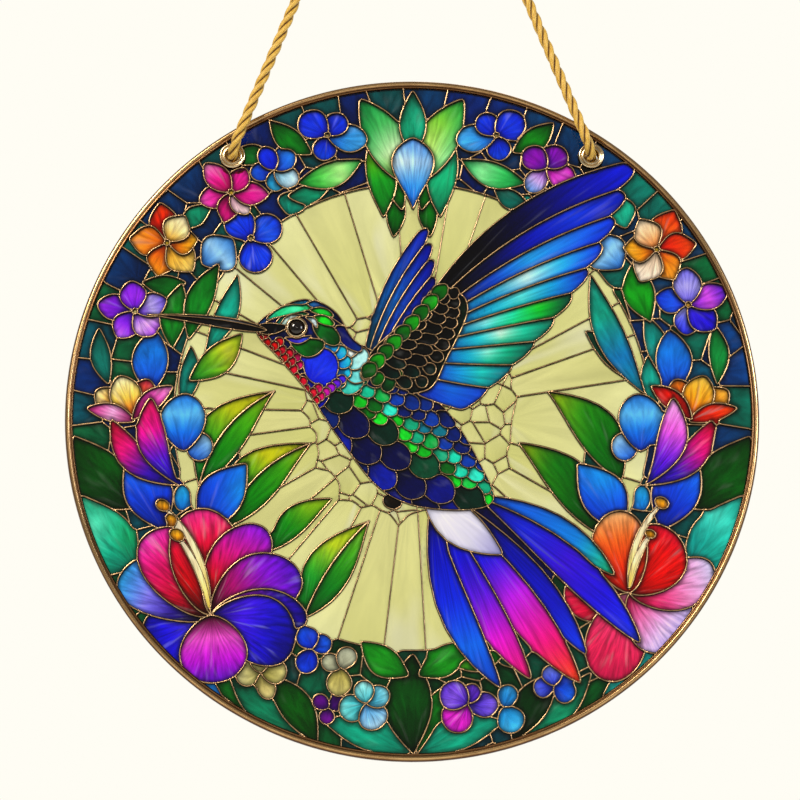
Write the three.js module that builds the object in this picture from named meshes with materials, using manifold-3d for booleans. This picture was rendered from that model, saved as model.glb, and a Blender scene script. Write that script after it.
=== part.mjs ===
// A stained glass suncatcher: a round leaded panel that hangs on a twisted cord.
// A hummingbird hovers in clear ground glass inside a wreath of flowers and leaves.
//
// Millimetres, +Z up. The panel stands in the XZ plane and its front looks along -Y.
// The origin is the hanging point, on the inside of the cord's loop.

import * as THREE from 'three';
import { mergeVertices } from 'three/addons/utils/BufferGeometryUtils.js';
import Module from 'manifold-3d';

const wasm = await Module();
wasm.setup();

// ---------------------------------------------------------------- driving sizes

const PANEL_RADIUS = 150;
const PANEL_DROP = 298;          // from the hanging point down to the middle of the panel
const RIM_WIDTH = 3.6;
const RIM_DEPTH = 6;
const GLASS_THICKNESS = 3;
const SOLDER_WIDTH = 1.6;
const SOLDER_DEPTH = 4.2;
const GAP = 0.3;                 // left between pieces that touch

const EYELET_X = 79;
const EYELET_Y = 115.4;          // above the middle of the panel
const EYELET_RADIUS = 5.8;
const BARREL_RADIUS = 4;
const BORE_RADIUS = 3.05;
const EYELET_SIDES = 12;

const CORD_DIAMETER = 4.4;

const GROUND_RADIUS = 99;        // of the clear glass inside the wreath
const RIM_SIDES = 48;

// ------------------------------------------------------------- points and angles

const at = (x, y) => new THREE.Vector2(x, y);
const radians = THREE.MathUtils.degToRad;
const mix = THREE.MathUtils.lerp;

/** The point at a distance from the panel's middle, its angle in degrees from the +X side. */
function polar(distance, angle) {
  return at(distance * Math.cos(radians(angle)), distance * Math.sin(radians(angle)));
}

/** The ring as seen in a mirror that stands upright in the panel's middle. */
function mirrored(ring) {
  return ring.map((point) => at(-point.x, point.y)).reverse();
}

// ------------------------------------------------------------- outlines of glass
// Every outline is a ring of points that runs anticlockwise.

/** The points in an anticlockwise order. */
function anticlockwise(ring) {
  return THREE.ShapeUtils.isClockWise(ring) ? ring.slice().reverse() : ring;
}

/** A circle with a number of sides. */
function circle(centre, radius, sides = 16) {
  return Array.from({ length: sides }, (_, i) => polar(radius, (360 * i) / sides).add(centre));
}

/** A smooth ring through a few corners, with a number of points from each to the next. */
function rounded(corners, steps = 2) {
  const curve = new THREE.SplineCurve([...corners, corners[0], corners[1], corners[2]]);
  const whole = corners.length + 2;
  const ring = [];
  for (let i = 0; i < corners.length * steps; i += 1) {
    ring.push(curve.getPoint((1 + i / steps) / whole));
  }
  return anticlockwise(ring);
}

/**
 * A leaf or petal. Its middle line runs from base to tip, bowed to the left by a share of
 * its length. Its width follows a half sine wave, which a skew above 1 moves towards the
 * tip and a roundness below 1 makes blunt.
 */
function blade(base, tip, width, { bow = 0, skew = 1, roundness = 1, steps = 5 } = {}) {
  const along = tip.clone().sub(base);
  const side = at(-along.y, along.x).normalize();
  const sides = [[], []];
  for (let i = 0; i <= steps; i += 1) {
    const t = i / steps;
    const swing = 4 * bow * along.length() * t * (1 - t);
    const half = (width / 2) * Math.max(Math.sin(Math.PI * t ** skew), 0) ** roundness;
    const middle = base.clone().addScaledVector(along, t).addScaledVector(side, swing);
    sides[0].push(middle.clone().addScaledVector(side, half));
    sides[1].push(middle.clone().addScaledVector(side, -half));
  }
  return anticlockwise([...sides[1], ...sides[0].slice(1, -1).reverse()]);
}

/**
 * A flower seen from the front: the radius swells and shrinks once for each petal. A petal has
 * 2 points if it is pointed, and 3 if it is blunt.
 */
function blossom(centre, radius, petals, turn, waist, sharpness = 1, steps = 3) {
  const ring = [];
  const start = steps % 2 === 0 ? 0 : 0.5;
  for (let i = 0; i < petals * steps; i += 1) {
    const angle = (360 * (i + start)) / (petals * steps);
    const swell = Math.abs(Math.cos(radians((petals * angle) / 2))) ** sharpness;
    ring.push(polar(radius * mix(waist, 1, swell), angle + turn).add(centre));
  }
  return ring;
}

/** The point a share of the way along a bowed line between two points. */
function bowed(from, to, bow, t) {
  const along = to.clone().sub(from);
  const side = at(-along.y, along.x);
  return from.clone().addScaledVector(along, t).addScaledVector(side, 4 * bow * t * (1 - t));
}

/** The point on a curve that starts at a, leaves towards b and ends at c. */
function curve(a, b, c, t) {
  return new THREE.QuadraticBezierCurve(a, b, c).getPoint(t);
}

/** A wedge with its corner at a point, from one angle to another, wider than the panel. */
function wedge(corner, from, to) {
  const spokes = [from, mix(from, to, 1 / 3), mix(from, to, 2 / 3), to];
  return [corner, ...spokes.map((angle) => polar(400, angle).add(corner))];
}

/** A stretch of the wreath's ground, from one angle to another. */
function wreathPart(from, to, inner, outer) {
  const steps = Math.ceil((to - from) / 10);
  const along = Array.from({ length: steps + 1 }, (_, i) => mix(from, to, i / steps));
  const outside = along.map((angle) => polar(outer, angle));
  const inside = along.map((angle) => polar(inner, angle)).reverse();
  return anticlockwise([...outside, ...inside]);
}

/**
 * The ring with each edge moved outwards by a distance, or inwards if it is below 0. Edges
 * that an inward move turns round are left out, and long spikes are cut short.
 */
function grown(ring, distance) {
  let edges = ring.map((start, i) => {
    const along = ring[(i + 1) % ring.length].clone().sub(start).normalize();
    const start2 = start.clone().add(at(along.y, -along.x).multiplyScalar(distance));
    return { start, along, moved: start2 };
  });
  for (;;) {
    const corners = edges.map((edge, i) => {
      const before = edges.at(i - 1);
      const cross = before.along.cross(edge.along);
      if (Math.abs(cross) < 0.05) {
        return edge.moved;
      }
      const step = edge.moved.clone().sub(before.moved).cross(edge.along) / cross;
      const corner = before.moved.clone().addScaledVector(before.along, step);
      const reach = corner.distanceTo(edge.start);
      const limit = 2.2 * Math.abs(distance);
      return distance > 0 && reach > limit ? edge.start.clone().lerp(corner, limit / reach) : corner;
    });
    const kept = edges.filter((edge, i) => {
      const along = corners[(i + 1) % corners.length].clone().sub(corners[i]);
      return along.dot(edge.along) > 0;
    });
    if (kept.length === edges.length || kept.length < 3) {
      return corners;
    }
    edges = kept;
  }
}

// ------------------------------------------------------------------- solids

/** A closed geometry as a solid that can be joined and cut. */
function solidOf(geometry) {
  const bare = geometry.clone();
  bare.deleteAttribute('normal');
  bare.deleteAttribute('uv');
  const merged = mergeVertices(bare, 1e-4);
  return new wasm.Manifold(new wasm.Mesh({
    numProp: 3,
    vertProperties: new Float32Array(merged.attributes.position.array),
    triVerts: new Uint32Array(merged.index.array),
  }));
}

/** A solid as a geometry. */
function geometryOf(solid) {
  const mesh = solid.getMesh();
  const geometry = new THREE.BufferGeometry();
  geometry.setAttribute('position', new THREE.BufferAttribute(mesh.vertProperties, 3));
  geometry.setIndex(new THREE.BufferAttribute(mesh.triVerts, 1));
  return geometry;
}

/** A flat piece of the panel with this outline and holes, this deep, half on each side of y = 0. */
function slab(ring, depth, holes = []) {
  const shape = new THREE.Shape(ring);
  shape.holes = holes.map((hole) => new THREE.Path(hole));
  const geometry = new THREE.ExtrudeGeometry(shape, { depth, bevelEnabled: false });
  geometry.rotateX(Math.PI / 2);
  geometry.translate(0, depth / 2, -PANEL_DROP);
  return solidOf(geometry);
}

/** The rings round the front face of a slab: first its own outline, then those of its holes. */
function outlines(solid) {
  const { vertProperties, triVerts } = solid.getMesh();
  const edges = new Map();
  for (let i = 0; i < triVerts.length; i += 3) {
    const corners = [...triVerts.slice(i, i + 3)];
    if (corners.every((corner) => vertProperties[3 * corner + 1] < 0)) {
      corners.forEach((corner, k) => edges.set(`${corner} ${corners[(k + 1) % 3]}`, corner));
    }
  }
  const next = new Map();
  for (const edge of edges.keys()) {
    const [from, to] = edge.split(' ').map(Number);
    if (!edges.has(`${to} ${from}`)) {
      next.set(from, to);
    }
  }
  const rings = [];
  while (next.size > 0) {
    const ring = [];
    let corner = next.keys().next().value;
    while (next.has(corner)) {
      const after = next.get(corner);
      next.delete(corner);
      ring.push(at(vertProperties[3 * corner], vertProperties[3 * corner + 2] + PANEL_DROP));
      corner = after;
    }
    rings.push(ring);
  }
  return rings.sort((a, b) => THREE.ShapeUtils.area(b) - THREE.ShapeUtils.area(a));
}

/** The largest of the bodies that a solid falls into. */
function largest(solid) {
  return solid.decompose().sort((a, b) => b.volume() - a.volume())[0];
}

// --------------------------------------------------------- the figures, front first

const figures = [];

/** Adds a figure of glass. With a clip it is cut off along that outline. */
function glass(name, colour, ring, clip = null) {
  figures.push({ name: `glass_${name}`, colour, ring, clip });
}

/** Adds a figure on the left and its mirror image on the right. */
function glassPair(name, colours, ring) {
  glass(`${name}_left`, colours[0], ring);
  glass(`${name}_right`, colours[1], mirrored(ring));
}

// The bird's body, from the brow over the back to the tail, and along the belly.
const body = rounded([
  at(-68, 37), at(-58, 46.5), at(-45, 50.5), at(-33, 44.5), at(-25, 32), at(-10, 23),
  at(14, 2), at(29, -22), at(34, -40), at(8, -42), at(-13, -34), at(-31, -12),
  at(-45, 9), at(-58, 24.5),
], 2);

glass('beak', '#241a1c', blade(at(-63, 36.5), at(-115, 43.5), 6.4, { bow: -0.02, skew: 0.6 }));

// Wing and tail are fans of feathers, each between two bowed lines that run out from a curve
// of roots to a curve of ends. Lines are counted from 0.
const wing = {
  count: 10,
  roots: [at(9, 54), at(36, 46), at(2, 8)],
  ends: [at(95, 113), at(82, 50), at(22, 1)],
  bows: [0.1, -0.02],
  shoulder: 0.985,
  reach: 1.045,
};
const tail = {
  count: 4,
  roots: [at(5, -42), at(20, -36), at(34, -32)],
  ends: [at(25, -98), at(56, -126), at(91, -87)],
  bows: [-0.03, 0.03],
  shoulder: 0.93,
  reach: 1.16,
};

/** The point a share of the way out along one of a fan's lines. */
function fanLine(fan, line, t) {
  const s = line / fan.count;
  const bow = mix(fan.bows[0], fan.bows[1], s ** 0.5);
  return bowed(curve(...fan.roots, s), curve(...fan.ends, s), bow, t);
}

/** The outline of a fan's feathers from one line to another, each with a tip that reaches out. */
function feathers(fan, first, last) {
  const upper = Math.max(first - 0.4, 0);
  const ring = [0, 0.25, 0.5, 0.75, fan.shoulder].map((t) => fanLine(fan, upper, t));
  for (let feather = first; feather < last; feather += 1) {
    ring.push(fanLine(fan, feather + 0.5, fan.reach));
    ring.push(fanLine(fan, feather + 1, fan.shoulder));
  }
  ring.push(...[0.75, 0.5, 0.25, 0].map((t) => fanLine(fan, last, t)));
  return anticlockwise(ring);
}

glass('wing_coverts', '#1c3a2a', rounded([
  at(-19, 24), at(-4, 40), at(10, 55), at(21, 53), at(24, 44), at(15, 24), at(7, 10), at(-8, 12),
], 2));
const wingGroups = [
  { colour: '#0a1a9c', first: 0, last: 2 },
  { colour: '#1878e0', first: 2, last: 4 },
  { colour: '#16b4c8', first: 4, last: 6 },
  { colour: '#14c49a', first: 6, last: 10 },
];
wingGroups.forEach(({ colour, first, last }, i) => {
  glass(`wing_feathers_${i + 1}`, colour, feathers(wing, first, last));
});

// The bird's body, from the throat back.
glass('throat', '#d81030', blade(at(-71, 37), at(-43, 3), 19, { bow: 0.06 }), body);
glass('gorget', '#4a22e0', blade(at(-47, 27), at(-39, -1), 22, { roundness: 0.6 }), body);
glass('head', '#18a070', circle(at(-48, 37), 26, 14), body);
glass('undertail', '#e8dcf0', blade(at(4, -33), at(39, -62), 17, { bow: -0.05 }));
glass('back', '#14a838', blade(at(-26, 20), at(40, -38), 34, { bow: 0.03, roundness: 0.7 }), body);
glass('belly', '#101c48', body);
glass('far_wing', '#2050d8', blade(at(-20, 20), at(6.5, 83), 22, { bow: 0.05, skew: 1.1 }));

const tailColours = ['#2430d8', '#d828b0', '#e8306c', '#1c8ce0'];
tailColours.forEach((colour, i) => {
  glass(`tail_feather_${i + 1}`, colour, feathers(tail, i, i + 1));
});

// The wreath's flowers, nearly the same on the left and on the right.
glassPair('hibiscus', ['#c81c9c', '#f0704c'], blossom(at(-88, -86), 36, 5, 96, 0.74, 0.8));
glassPair('trumpet', ['#e860a0', '#f08040'], rounded([
  at(-139, 1), at(-131, 17), at(-115, 21), at(-101, 12), at(-97, -8), at(-93, -29), at(-102, -31),
  at(-114, -12),
], 2));
glassPair('star_flower', ['#f89030', '#f87830'], blossom(polar(127, 144), 15.5, 5, 108, 0.45, 1, 2));
glassPair('violet_flower', ['#9c3cd8', '#5c48e8'], blossom(polar(126, 160), 15, 5, 124, 0.62, 0.8));
glass('pink_flower', '#e82c88', blossom(polar(121, 131), 15, 5, 95, 0.5, 1, 2));
glass('purple_flower', '#9034c8', blossom(polar(122, 61.5), 12, 4, 16, 0.6, 0.8));
glassPair('blue_flower', ['#2c64e8', '#2c64e8'], blossom(polar(128, 106), 15, 4, 61, 0.6, 0.8));
glass('sky_flower', '#2458e0', blossom(polar(103, 132), 14, 4, 87, 0.66, 0.8));
glassPair('low_flower', ['#a8c8f0', '#a860d8'], blossom(polar(124, 262), 12.5, 5, 46, 0.66, 0.8));

// Leaves and the drop at the top of the wreath, and the leaves that reach into the ground.
glass('drop', '#6cb0f0', blade(at(0.5, 92), at(0.5, 123), 18, { skew: 1.3, roundness: 0.8 }));
glassPair('top_leaf', ['#70d098', '#80c850'], blade(at(-8, 103), at(-21, 137), 17, { bow: -0.06 }));
glass('drooping_leaves', '#1c8c30', blade(at(0, 126), at(0, 79), 36, { skew: 0.8 }));
glassPair('blue_leaf', ['#1c6cd8', '#1c6cd8'], blade(at(-95, -60), at(-120, -14), 29, { bow: 0.02 }));
const leafColours = ['#78b820', '#4ca02c'];
glassPair('long_leaf_upper', leafColours, blade(at(-88, -50), at(-62, 9), 22, { bow: 0.07 }));
glassPair('long_leaf_middle', leafColours, blade(at(-76, -58), at(-44, -14), 20, { bow: 0.08 }));
glass('long_leaf_lower', leafColours[0], blade(at(-50, -88), at(-19, -46), 22, { bow: 0.05 }));

// The clear ground, parted by the bird's beak, wings and tail.
const ground = circle(at(0, 0), GROUND_RADIUS, 28);
const birdMiddle = at(-30, 33);
const groundAngles = [-55, 31, 54, 173, 305];
for (let i = 1; i < groundAngles.length; i += 1) {
  const ring = wedge(birdMiddle, groundAngles[i - 1] - 1, groundAngles[i]);
  glass(`ground_${i}`, '#d8d890', ring, ground);
}

// The deeper glass behind the wreath, round the panel from the violet flower on the right.
const wreath = [
  { colour: '#109068', from: 20, to: 50 },
  { colour: '#0c4c9c', from: 50, to: 90 },
  { colour: '#0c3c8c', from: 90, to: 130 },
  { colour: '#109068', from: 130, to: 160 },
  { colour: '#0c8c94', from: 160, to: 225 },
  { colour: '#148050', from: 225, to: 270 },
  { colour: '#127048', from: 270, to: 315 },
  { colour: '#0c8c94', from: 315, to: 380 },
];
wreath.forEach(({ colour, from, to }, i) => {
  glass(`wreath_${i + 1}`, colour, wreathPart(from - 1, to, 90, PANEL_RADIUS));
});

// ------------------------------------------------------------------ the part

const part = new THREE.Group();
const rimInside = PANEL_RADIUS - RIM_WIDTH;
const eyelets = [
  { word: 'left', centre: at(-EYELET_X, EYELET_Y) },
  { word: 'right', centre: at(EYELET_X, EYELET_Y) },
];

/** Adds a piece to the part. */
function addPiece(name, geometry, colour, roughness, metalness) {
  const material = new THREE.MeshStandardMaterial({ color: colour, roughness, metalness });
  const mesh = new THREE.Mesh(geometry, material);
  mesh.name = name;
  part.add(mesh);
  return mesh;
}

/** The panes: what is seen of each figure between the solder lines and the rim. */
function cutPanes() {
  const margin = SOLDER_WIDTH / 2 + GAP;
  const depth = GLASS_THICKNESS;
  const window = slab(circle(at(0, 0), rimInside - SOLDER_WIDTH - GAP, RIM_SIDES), depth);
  let front = eyelets.map(({ centre }) => (
    slab(circle(centre, BARREL_RADIUS + SOLDER_WIDTH + 2 * GAP), depth)
  )).reduce((all, one) => all.add(one));
  return figures.map(({ ring, clip }) => {
    let inner = slab(grown(ring, -margin), depth);
    let outer = slab(grown(ring, margin), depth);
    if (clip) {
      inner = inner.intersect(slab(grown(clip, -margin), depth));
      outer = outer.intersect(slab(grown(clip, margin), depth));
    }
    const seen = inner.subtract(front).intersect(window);
    front = front.add(outer);
    return largest(seen);
  });
}

const panes = cutPanes();

// The solder net fills what the panes leave, and stands proud of them on both sides.
const through = SOLDER_DEPTH + 2;
let net = slab(circle(at(0, 0), rimInside - GAP, RIM_SIDES), SOLDER_DEPTH);
for (const pane of panes) {
  const [ring, ...holes] = outlines(pane).map((outline) => grown(outline, GAP));
  net = net.subtract(slab(ring, through, holes));
}
for (const { centre } of eyelets) {
  net = net.subtract(slab(circle(centre, BARREL_RADIUS + GAP), through));
}
addPiece('solder_net', geometryOf(largest(net)), '#6b4a2c', 0.4, 0.9);

figures.forEach(({ name, colour }, i) => {
  addPiece(name, geometryOf(panes[i]), colour, 0.15, 0);
});

/** A closed ring round the Y axis, turned from points of radius and depth. */
function turned(points, sides, x, z) {
  const profile = points.map(([radius, y]) => at(radius, y));
  const geometry = new THREE.LatheGeometry([...profile, profile[0]], sides);
  geometry.translate(x, 0, z);
  return geometry;
}

// The rim: a round-backed bronze hoop.
const rimHalf = RIM_DEPTH / 2;
const rimProfile = [
  [rimInside, -rimHalf * 0.6],
  [PANEL_RADIUS - RIM_WIDTH * 0.55, -rimHalf],
  [PANEL_RADIUS, -rimHalf * 0.5],
  [PANEL_RADIUS, rimHalf * 0.5],
  [PANEL_RADIUS - RIM_WIDTH * 0.55, rimHalf],
  [rimInside, rimHalf * 0.6],
];
addPiece('rim', turned(rimProfile, RIM_SIDES, 0, -PANEL_DROP), '#8a5a2a', 0.3, 0.95);

// The eyelets: a barrel through the panel with a flange on each side.
const flangeInside = SOLDER_DEPTH / 2 + GAP;
const flangeOutside = flangeInside + 0.8;
const eyeletProfile = [
  [BARREL_RADIUS, flangeInside],
  [EYELET_RADIUS, flangeInside],
  [EYELET_RADIUS - 1.4, flangeOutside],
  [BORE_RADIUS, flangeOutside],
  [BORE_RADIUS, -flangeOutside],
  [EYELET_RADIUS - 1.4, -flangeOutside],
  [EYELET_RADIUS, -flangeInside],
  [BARREL_RADIUS, -flangeInside],
];
for (const { word, centre } of eyelets) {
  const eyelet = turned(eyeletProfile, EYELET_SIDES, centre.x, centre.y - PANEL_DROP);
  addPiece(`eyelet_${word}`, eyelet, '#c8a878', 0.3, 0.95);
}

// The cord's middle line: from the top of the loop down the right leg, round the bend and
// through the eyelet to its knot. The left half is its mirror image.
const rightHalf = [
  [0, 0, 2.2], [4.2, -0.1, 1.36], [7.78, -0.35, -1.02], [10.2, -0.75, -4.64],
  [21.1, -2.2, -32.9], [32, -3.6, -61.1], [42.9, -5, -89.4], [53.7, -6.4, -117.6],
  [64.6, -7.8, -145.9], [75.5, -9.2, -174.1], [77, -8.5, -177.7], [78.1, -6.4, -180.6],
  [78.8, -3.5, -182.1], [79, 0, -182.6], [79, 5, -182.6],
];
const leftHalf = rightHalf.slice(1).reverse().map(([x, y, z]) => [-x, y, z]);

/** A smooth curve whose steps are spread evenly between its points, however far apart. */
class Route extends THREE.CatmullRomCurve3 {
  getPointAt(share, target) {
    return this.getPoint(share, target);
  }

  getTangentAt(share, target) {
    return this.getTangent(share, target);
  }
}

const route = new Route([...leftHalf, ...rightHalf].map((point) => new THREE.Vector3(...point)));
const cordSection = new THREE.Shape(circle(at(0, 0), CORD_DIAMETER / 2, 8));
let cord = solidOf(new THREE.ExtrudeGeometry(cordSection, {
  steps: route.points.length - 1,
  extrudePath: route,
}));

// Behind each eyelet the cord is tied in a stopper knot: round and blunt, along the Y axis.
const KNOT_RADIUS = 6.4;
const KNOT_LENGTH = 11;
const KNOT_SIDES = 8;
const knotProfile = Array.from({ length: 6 }, (_, i) => {
  const angle = (Math.PI * i) / 5;
  const y = flangeOutside + GAP + (KNOT_LENGTH * (1 - Math.cos(angle))) / 2;
  return at(i % 5 === 0 ? 0 : KNOT_RADIUS * Math.sin(angle) ** 0.7, y);
});
for (const { centre } of eyelets) {
  const knot = new THREE.LatheGeometry(knotProfile, KNOT_SIDES);
  knot.translate(centre.x, 0, centre.y - PANEL_DROP);
  cord = cord.add(solidOf(knot));
}
addPiece('cord', geometryOf(cord), '#d9a01e', 0.7, 0);

export default part;
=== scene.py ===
import math

import bpy
import numpy as np
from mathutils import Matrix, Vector
from mathutils.geometry import delaunay_2d_cdt
from mathutils.kdtree import KDTree


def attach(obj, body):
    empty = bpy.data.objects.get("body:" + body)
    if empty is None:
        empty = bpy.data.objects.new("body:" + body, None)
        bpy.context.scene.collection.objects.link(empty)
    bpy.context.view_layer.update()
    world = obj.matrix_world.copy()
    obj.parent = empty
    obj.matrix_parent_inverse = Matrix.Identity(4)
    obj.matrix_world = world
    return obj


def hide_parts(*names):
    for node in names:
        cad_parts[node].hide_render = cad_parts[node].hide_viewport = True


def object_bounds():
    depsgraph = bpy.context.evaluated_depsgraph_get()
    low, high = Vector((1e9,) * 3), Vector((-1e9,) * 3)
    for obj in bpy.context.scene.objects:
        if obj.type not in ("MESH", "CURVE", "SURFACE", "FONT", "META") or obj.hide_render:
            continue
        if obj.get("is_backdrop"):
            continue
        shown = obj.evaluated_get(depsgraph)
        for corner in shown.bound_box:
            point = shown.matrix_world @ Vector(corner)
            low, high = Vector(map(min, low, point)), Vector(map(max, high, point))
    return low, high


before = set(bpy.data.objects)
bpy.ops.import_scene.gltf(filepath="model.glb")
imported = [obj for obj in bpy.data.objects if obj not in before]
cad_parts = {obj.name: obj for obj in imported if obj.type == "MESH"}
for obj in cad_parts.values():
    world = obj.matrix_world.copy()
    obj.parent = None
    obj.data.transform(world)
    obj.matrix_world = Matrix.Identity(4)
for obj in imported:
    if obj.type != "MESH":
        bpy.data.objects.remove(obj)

box_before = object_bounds()

# A round stained glass suncatcher. Metres, +Z up, front towards -Y. The origin is the inside of
# the cord's loop. Outlines of glass are drawn in millimetres from the middle of the panel.
PANEL_DROP = 0.298
MM = 0.001


# ------------------------------------------------------------------ camera
# The panel hangs a little above eye level, so it is looked at from below.
VIEW_DISTANCE = 1.2
VIEW_WIDTH = 0.346
SENSOR = 36.0
RISE = math.radians(12)
AIM_LEFT = 0.0052
AIM_UP = 0.0058

camera_data = bpy.data.cameras.new("camera")
camera_data.sensor_width = SENSOR
camera_data.lens = SENSOR * VIEW_DISTANCE / VIEW_WIDTH
camera = bpy.data.objects.new("camera", camera_data)
bpy.context.scene.collection.objects.link(camera)
upwards = Vector((0, -math.sin(RISE), math.cos(RISE)))
aim = Vector((-AIM_LEFT, 0, -PANEL_DROP)) + upwards * AIM_UP
camera.location = aim + Vector((0, -math.cos(RISE), -math.sin(RISE))) * VIEW_DISTANCE
camera.rotation_euler = (math.radians(90) + RISE, 0, 0)
bpy.context.scene.camera = camera


# ------------------------------------------------------------------ cord
# A gold satin cord, laid up from three twisted strands. Both ends run through an eyelet from
# the front and are tied in an overhand knot behind it.
STRAND_RADIUS = 1.17 * MM
STRAND_OFFSET = 1.2 * MM
CORD_PITCH = 21 * MM
STRAND_SIDES = 12
STRAND_STEP = 0.8 * MM
STRAND_GIRTH = 7.5
STRAND_APART = 20


def linear(code):
    """Hex sRGB colours as linear ones: c / 12.92 near black, else ((c + 0.055) / 1.055) ** 2.4."""
    c = np.array([int(code[i:i + 2], 16) for i in (0, 2, 4)]) / 255
    c = np.where(c < 0.04045, c / 12.92, ((c + 0.055) / 1.055) ** 2.4)
    return (*c.tolist(), 1.0)


def add(material, kind, settings=None, inputs=None):
    """Adds a node: settings are its properties, inputs are sockets' values or the links to them."""
    node = material.node_tree.nodes.new(kind)
    for key, value in (settings or {}).items():
        setattr(node, key, value)
    for key, value in (inputs or {}).items():
        if isinstance(value, bpy.types.NodeSocket):
            material.node_tree.links.new(value, node.inputs[key])
        else:
            node.inputs[key].default_value = value
    return node


def new_material(name):
    """An empty material with its output node."""
    material = bpy.data.materials.new(name)
    material.use_nodes = True
    material.node_tree.nodes.clear()
    material.node_tree.nodes.new("ShaderNodeOutputMaterial")
    return material


def finish_material(material, shader):
    """Links the shader to the material's output."""
    output = material.node_tree.nodes["Material Output"]
    material.node_tree.links.new(shader.outputs[0], output.inputs["Surface"])
    return material


def blend_colours(material, share, first, second):
    """The output of a node that mixes two colours by a share."""
    mix = add(material, "ShaderNodeMix", {"data_type": "RGBA"}, {0: share, 6: first, 7: second})
    return mix.outputs[2]


def ranged(material, value, low, high, to_low, to_high, smooth=True):
    """The output of a node that carries low..high over to to_low..to_high, clamped."""
    kind = {"interpolation_type": "SMOOTHSTEP" if smooth else "LINEAR"}
    return add(material, "ShaderNodeMapRange", kind, {
        "Value": value, "From Min": low, "From Max": high, "To Min": to_low, "To Max": to_high,
    }).outputs[0]


def piece(name, points, faces, material, smooth=True):
    """A mesh object in the shared frame, its faces shaded smooth or flat."""
    mesh = bpy.data.meshes.new(name)
    mesh.from_pydata(points.tolist(), [], faces if isinstance(faces, list) else faces.tolist())
    mesh.materials.append(material)
    mesh.polygons.foreach_set("use_smooth", np.full(len(mesh.polygons), smooth))
    mesh.update()
    obj = bpy.data.objects.new(name, mesh)
    bpy.context.scene.collection.objects.link(obj)
    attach(obj, "root")
    return obj


def smooth_route(points, step):
    """Catmull-Rom curve through the points, resampled so that its points lie a step apart."""
    p = np.vstack([2 * points[0] - points[1], points, 2 * points[-1] - points[-2]])
    t = np.linspace(0, 1, 40, endpoint=False)[:, None]
    a, b, c, d = p[:-3, None], p[1:-2, None], p[2:-1, None], p[3:, None]
    curve = 0.5 * (2 * b + (c - a) * t + (2 * a - 5 * b + 4 * c - d) * t ** 2
                   + (3 * b - a - 3 * c + d) * t ** 3)
    curve = np.vstack([curve.reshape(-1, 3), points[-1:]])
    run = np.concatenate([[0], np.cumsum(np.linalg.norm(np.diff(curve, axis=0), axis=1))])
    stations = np.linspace(0, run[-1], max(int(run[-1] / step), 2) + 1)
    return np.column_stack([np.interp(stations, run, curve[:, k]) for k in range(3)]), stations


def frames(route):
    """Two unit vectors across a route at each point, turned as little as possible on the way."""
    along = np.gradient(route, axis=0)
    along /= np.linalg.norm(along, axis=1)[:, None]
    side = np.empty_like(along)
    last = np.cross(along[0], (0.3, 0.9, 0.1))
    for i, direction in enumerate(along):
        last = last - direction * last.dot(direction)
        last /= np.linalg.norm(last)
        side[i] = last
    return side, np.cross(along, side)


def tube(route, radius, sides):
    """Points and faces of a closed tube: p + r (cos a u + sin a v) round each point of a route."""
    u, v = frames(route)
    angle = np.linspace(0, 2 * np.pi, sides, endpoint=False)[None, :, None]
    points = route[:, None] + radius * (np.cos(angle) * u[:, None] + np.sin(angle) * v[:, None])
    rows, columns = np.meshgrid(np.arange(len(route) - 1), np.arange(sides), indexing="ij")
    a, b = rows * sides + columns, rows * sides + (columns + 1) % sides
    quads = np.stack([a, b, b + sides, a + sides], axis=-1).reshape(-1, 4).tolist()
    last = (len(route) - 1) * sides
    caps = [list(range(sides))[::-1], list(range(last, last + sides))]
    return points.reshape(-1, 3), quads + caps


def set_number(obj, name, values):
    """A named number for each vertex."""
    attribute = obj.data.attributes.new(name, "FLOAT", "POINT")
    attribute.data.foreach_set("value", np.asarray(values, dtype=np.float32))


def set_uv(obj, name, values):
    """A UV map from one pair of values for each vertex."""
    mesh = obj.data
    corners = np.empty(len(mesh.loops), dtype=np.int64)
    mesh.loops.foreach_get("vertex_index", corners)
    layer = mesh.uv_layers.new(name=name)
    layer.data.foreach_set("uv", np.asarray(values, dtype=np.float32)[corners].ravel())


def strands(name, route, stations, material):
    """Three strands round a route: each one's middle is p + offset (cos a u + sin a v), with an
    angle a that grows by a full turn in each pitch."""
    u, v = frames(route)
    points, faces, lay, proud = [], [], [], []
    for k in range(3):
        turn = 2 * np.pi * (stations / CORD_PITCH + k / 3)
        middle = route + STRAND_OFFSET * (np.cos(turn)[:, None] * u + np.sin(turn)[:, None] * v)
        ring, quads = tube(middle, STRAND_RADIUS, STRAND_SIDES)
        start = k * len(ring)
        points.append(ring)
        apart = ring.reshape(len(route), -1, 3) - route[:, None]
        proud.append(np.linalg.norm(apart, axis=2).ravel() / MM)
        faces += [[start + corner for corner in quad] for quad in quads]
        turned_by = np.tile(np.arange(STRAND_SIDES) / STRAND_SIDES, len(route))
        around = turned_by * STRAND_GIRTH + STRAND_APART * k
        lay.append(np.column_stack([np.repeat(stations, STRAND_SIDES) / MM, around]))
    obj = piece(name, np.vstack(points), faces, material)
    set_uv(obj, "lay", np.vstack(lay))
    set_number(obj, "proud", np.concatenate(proud))
    return obj


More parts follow.
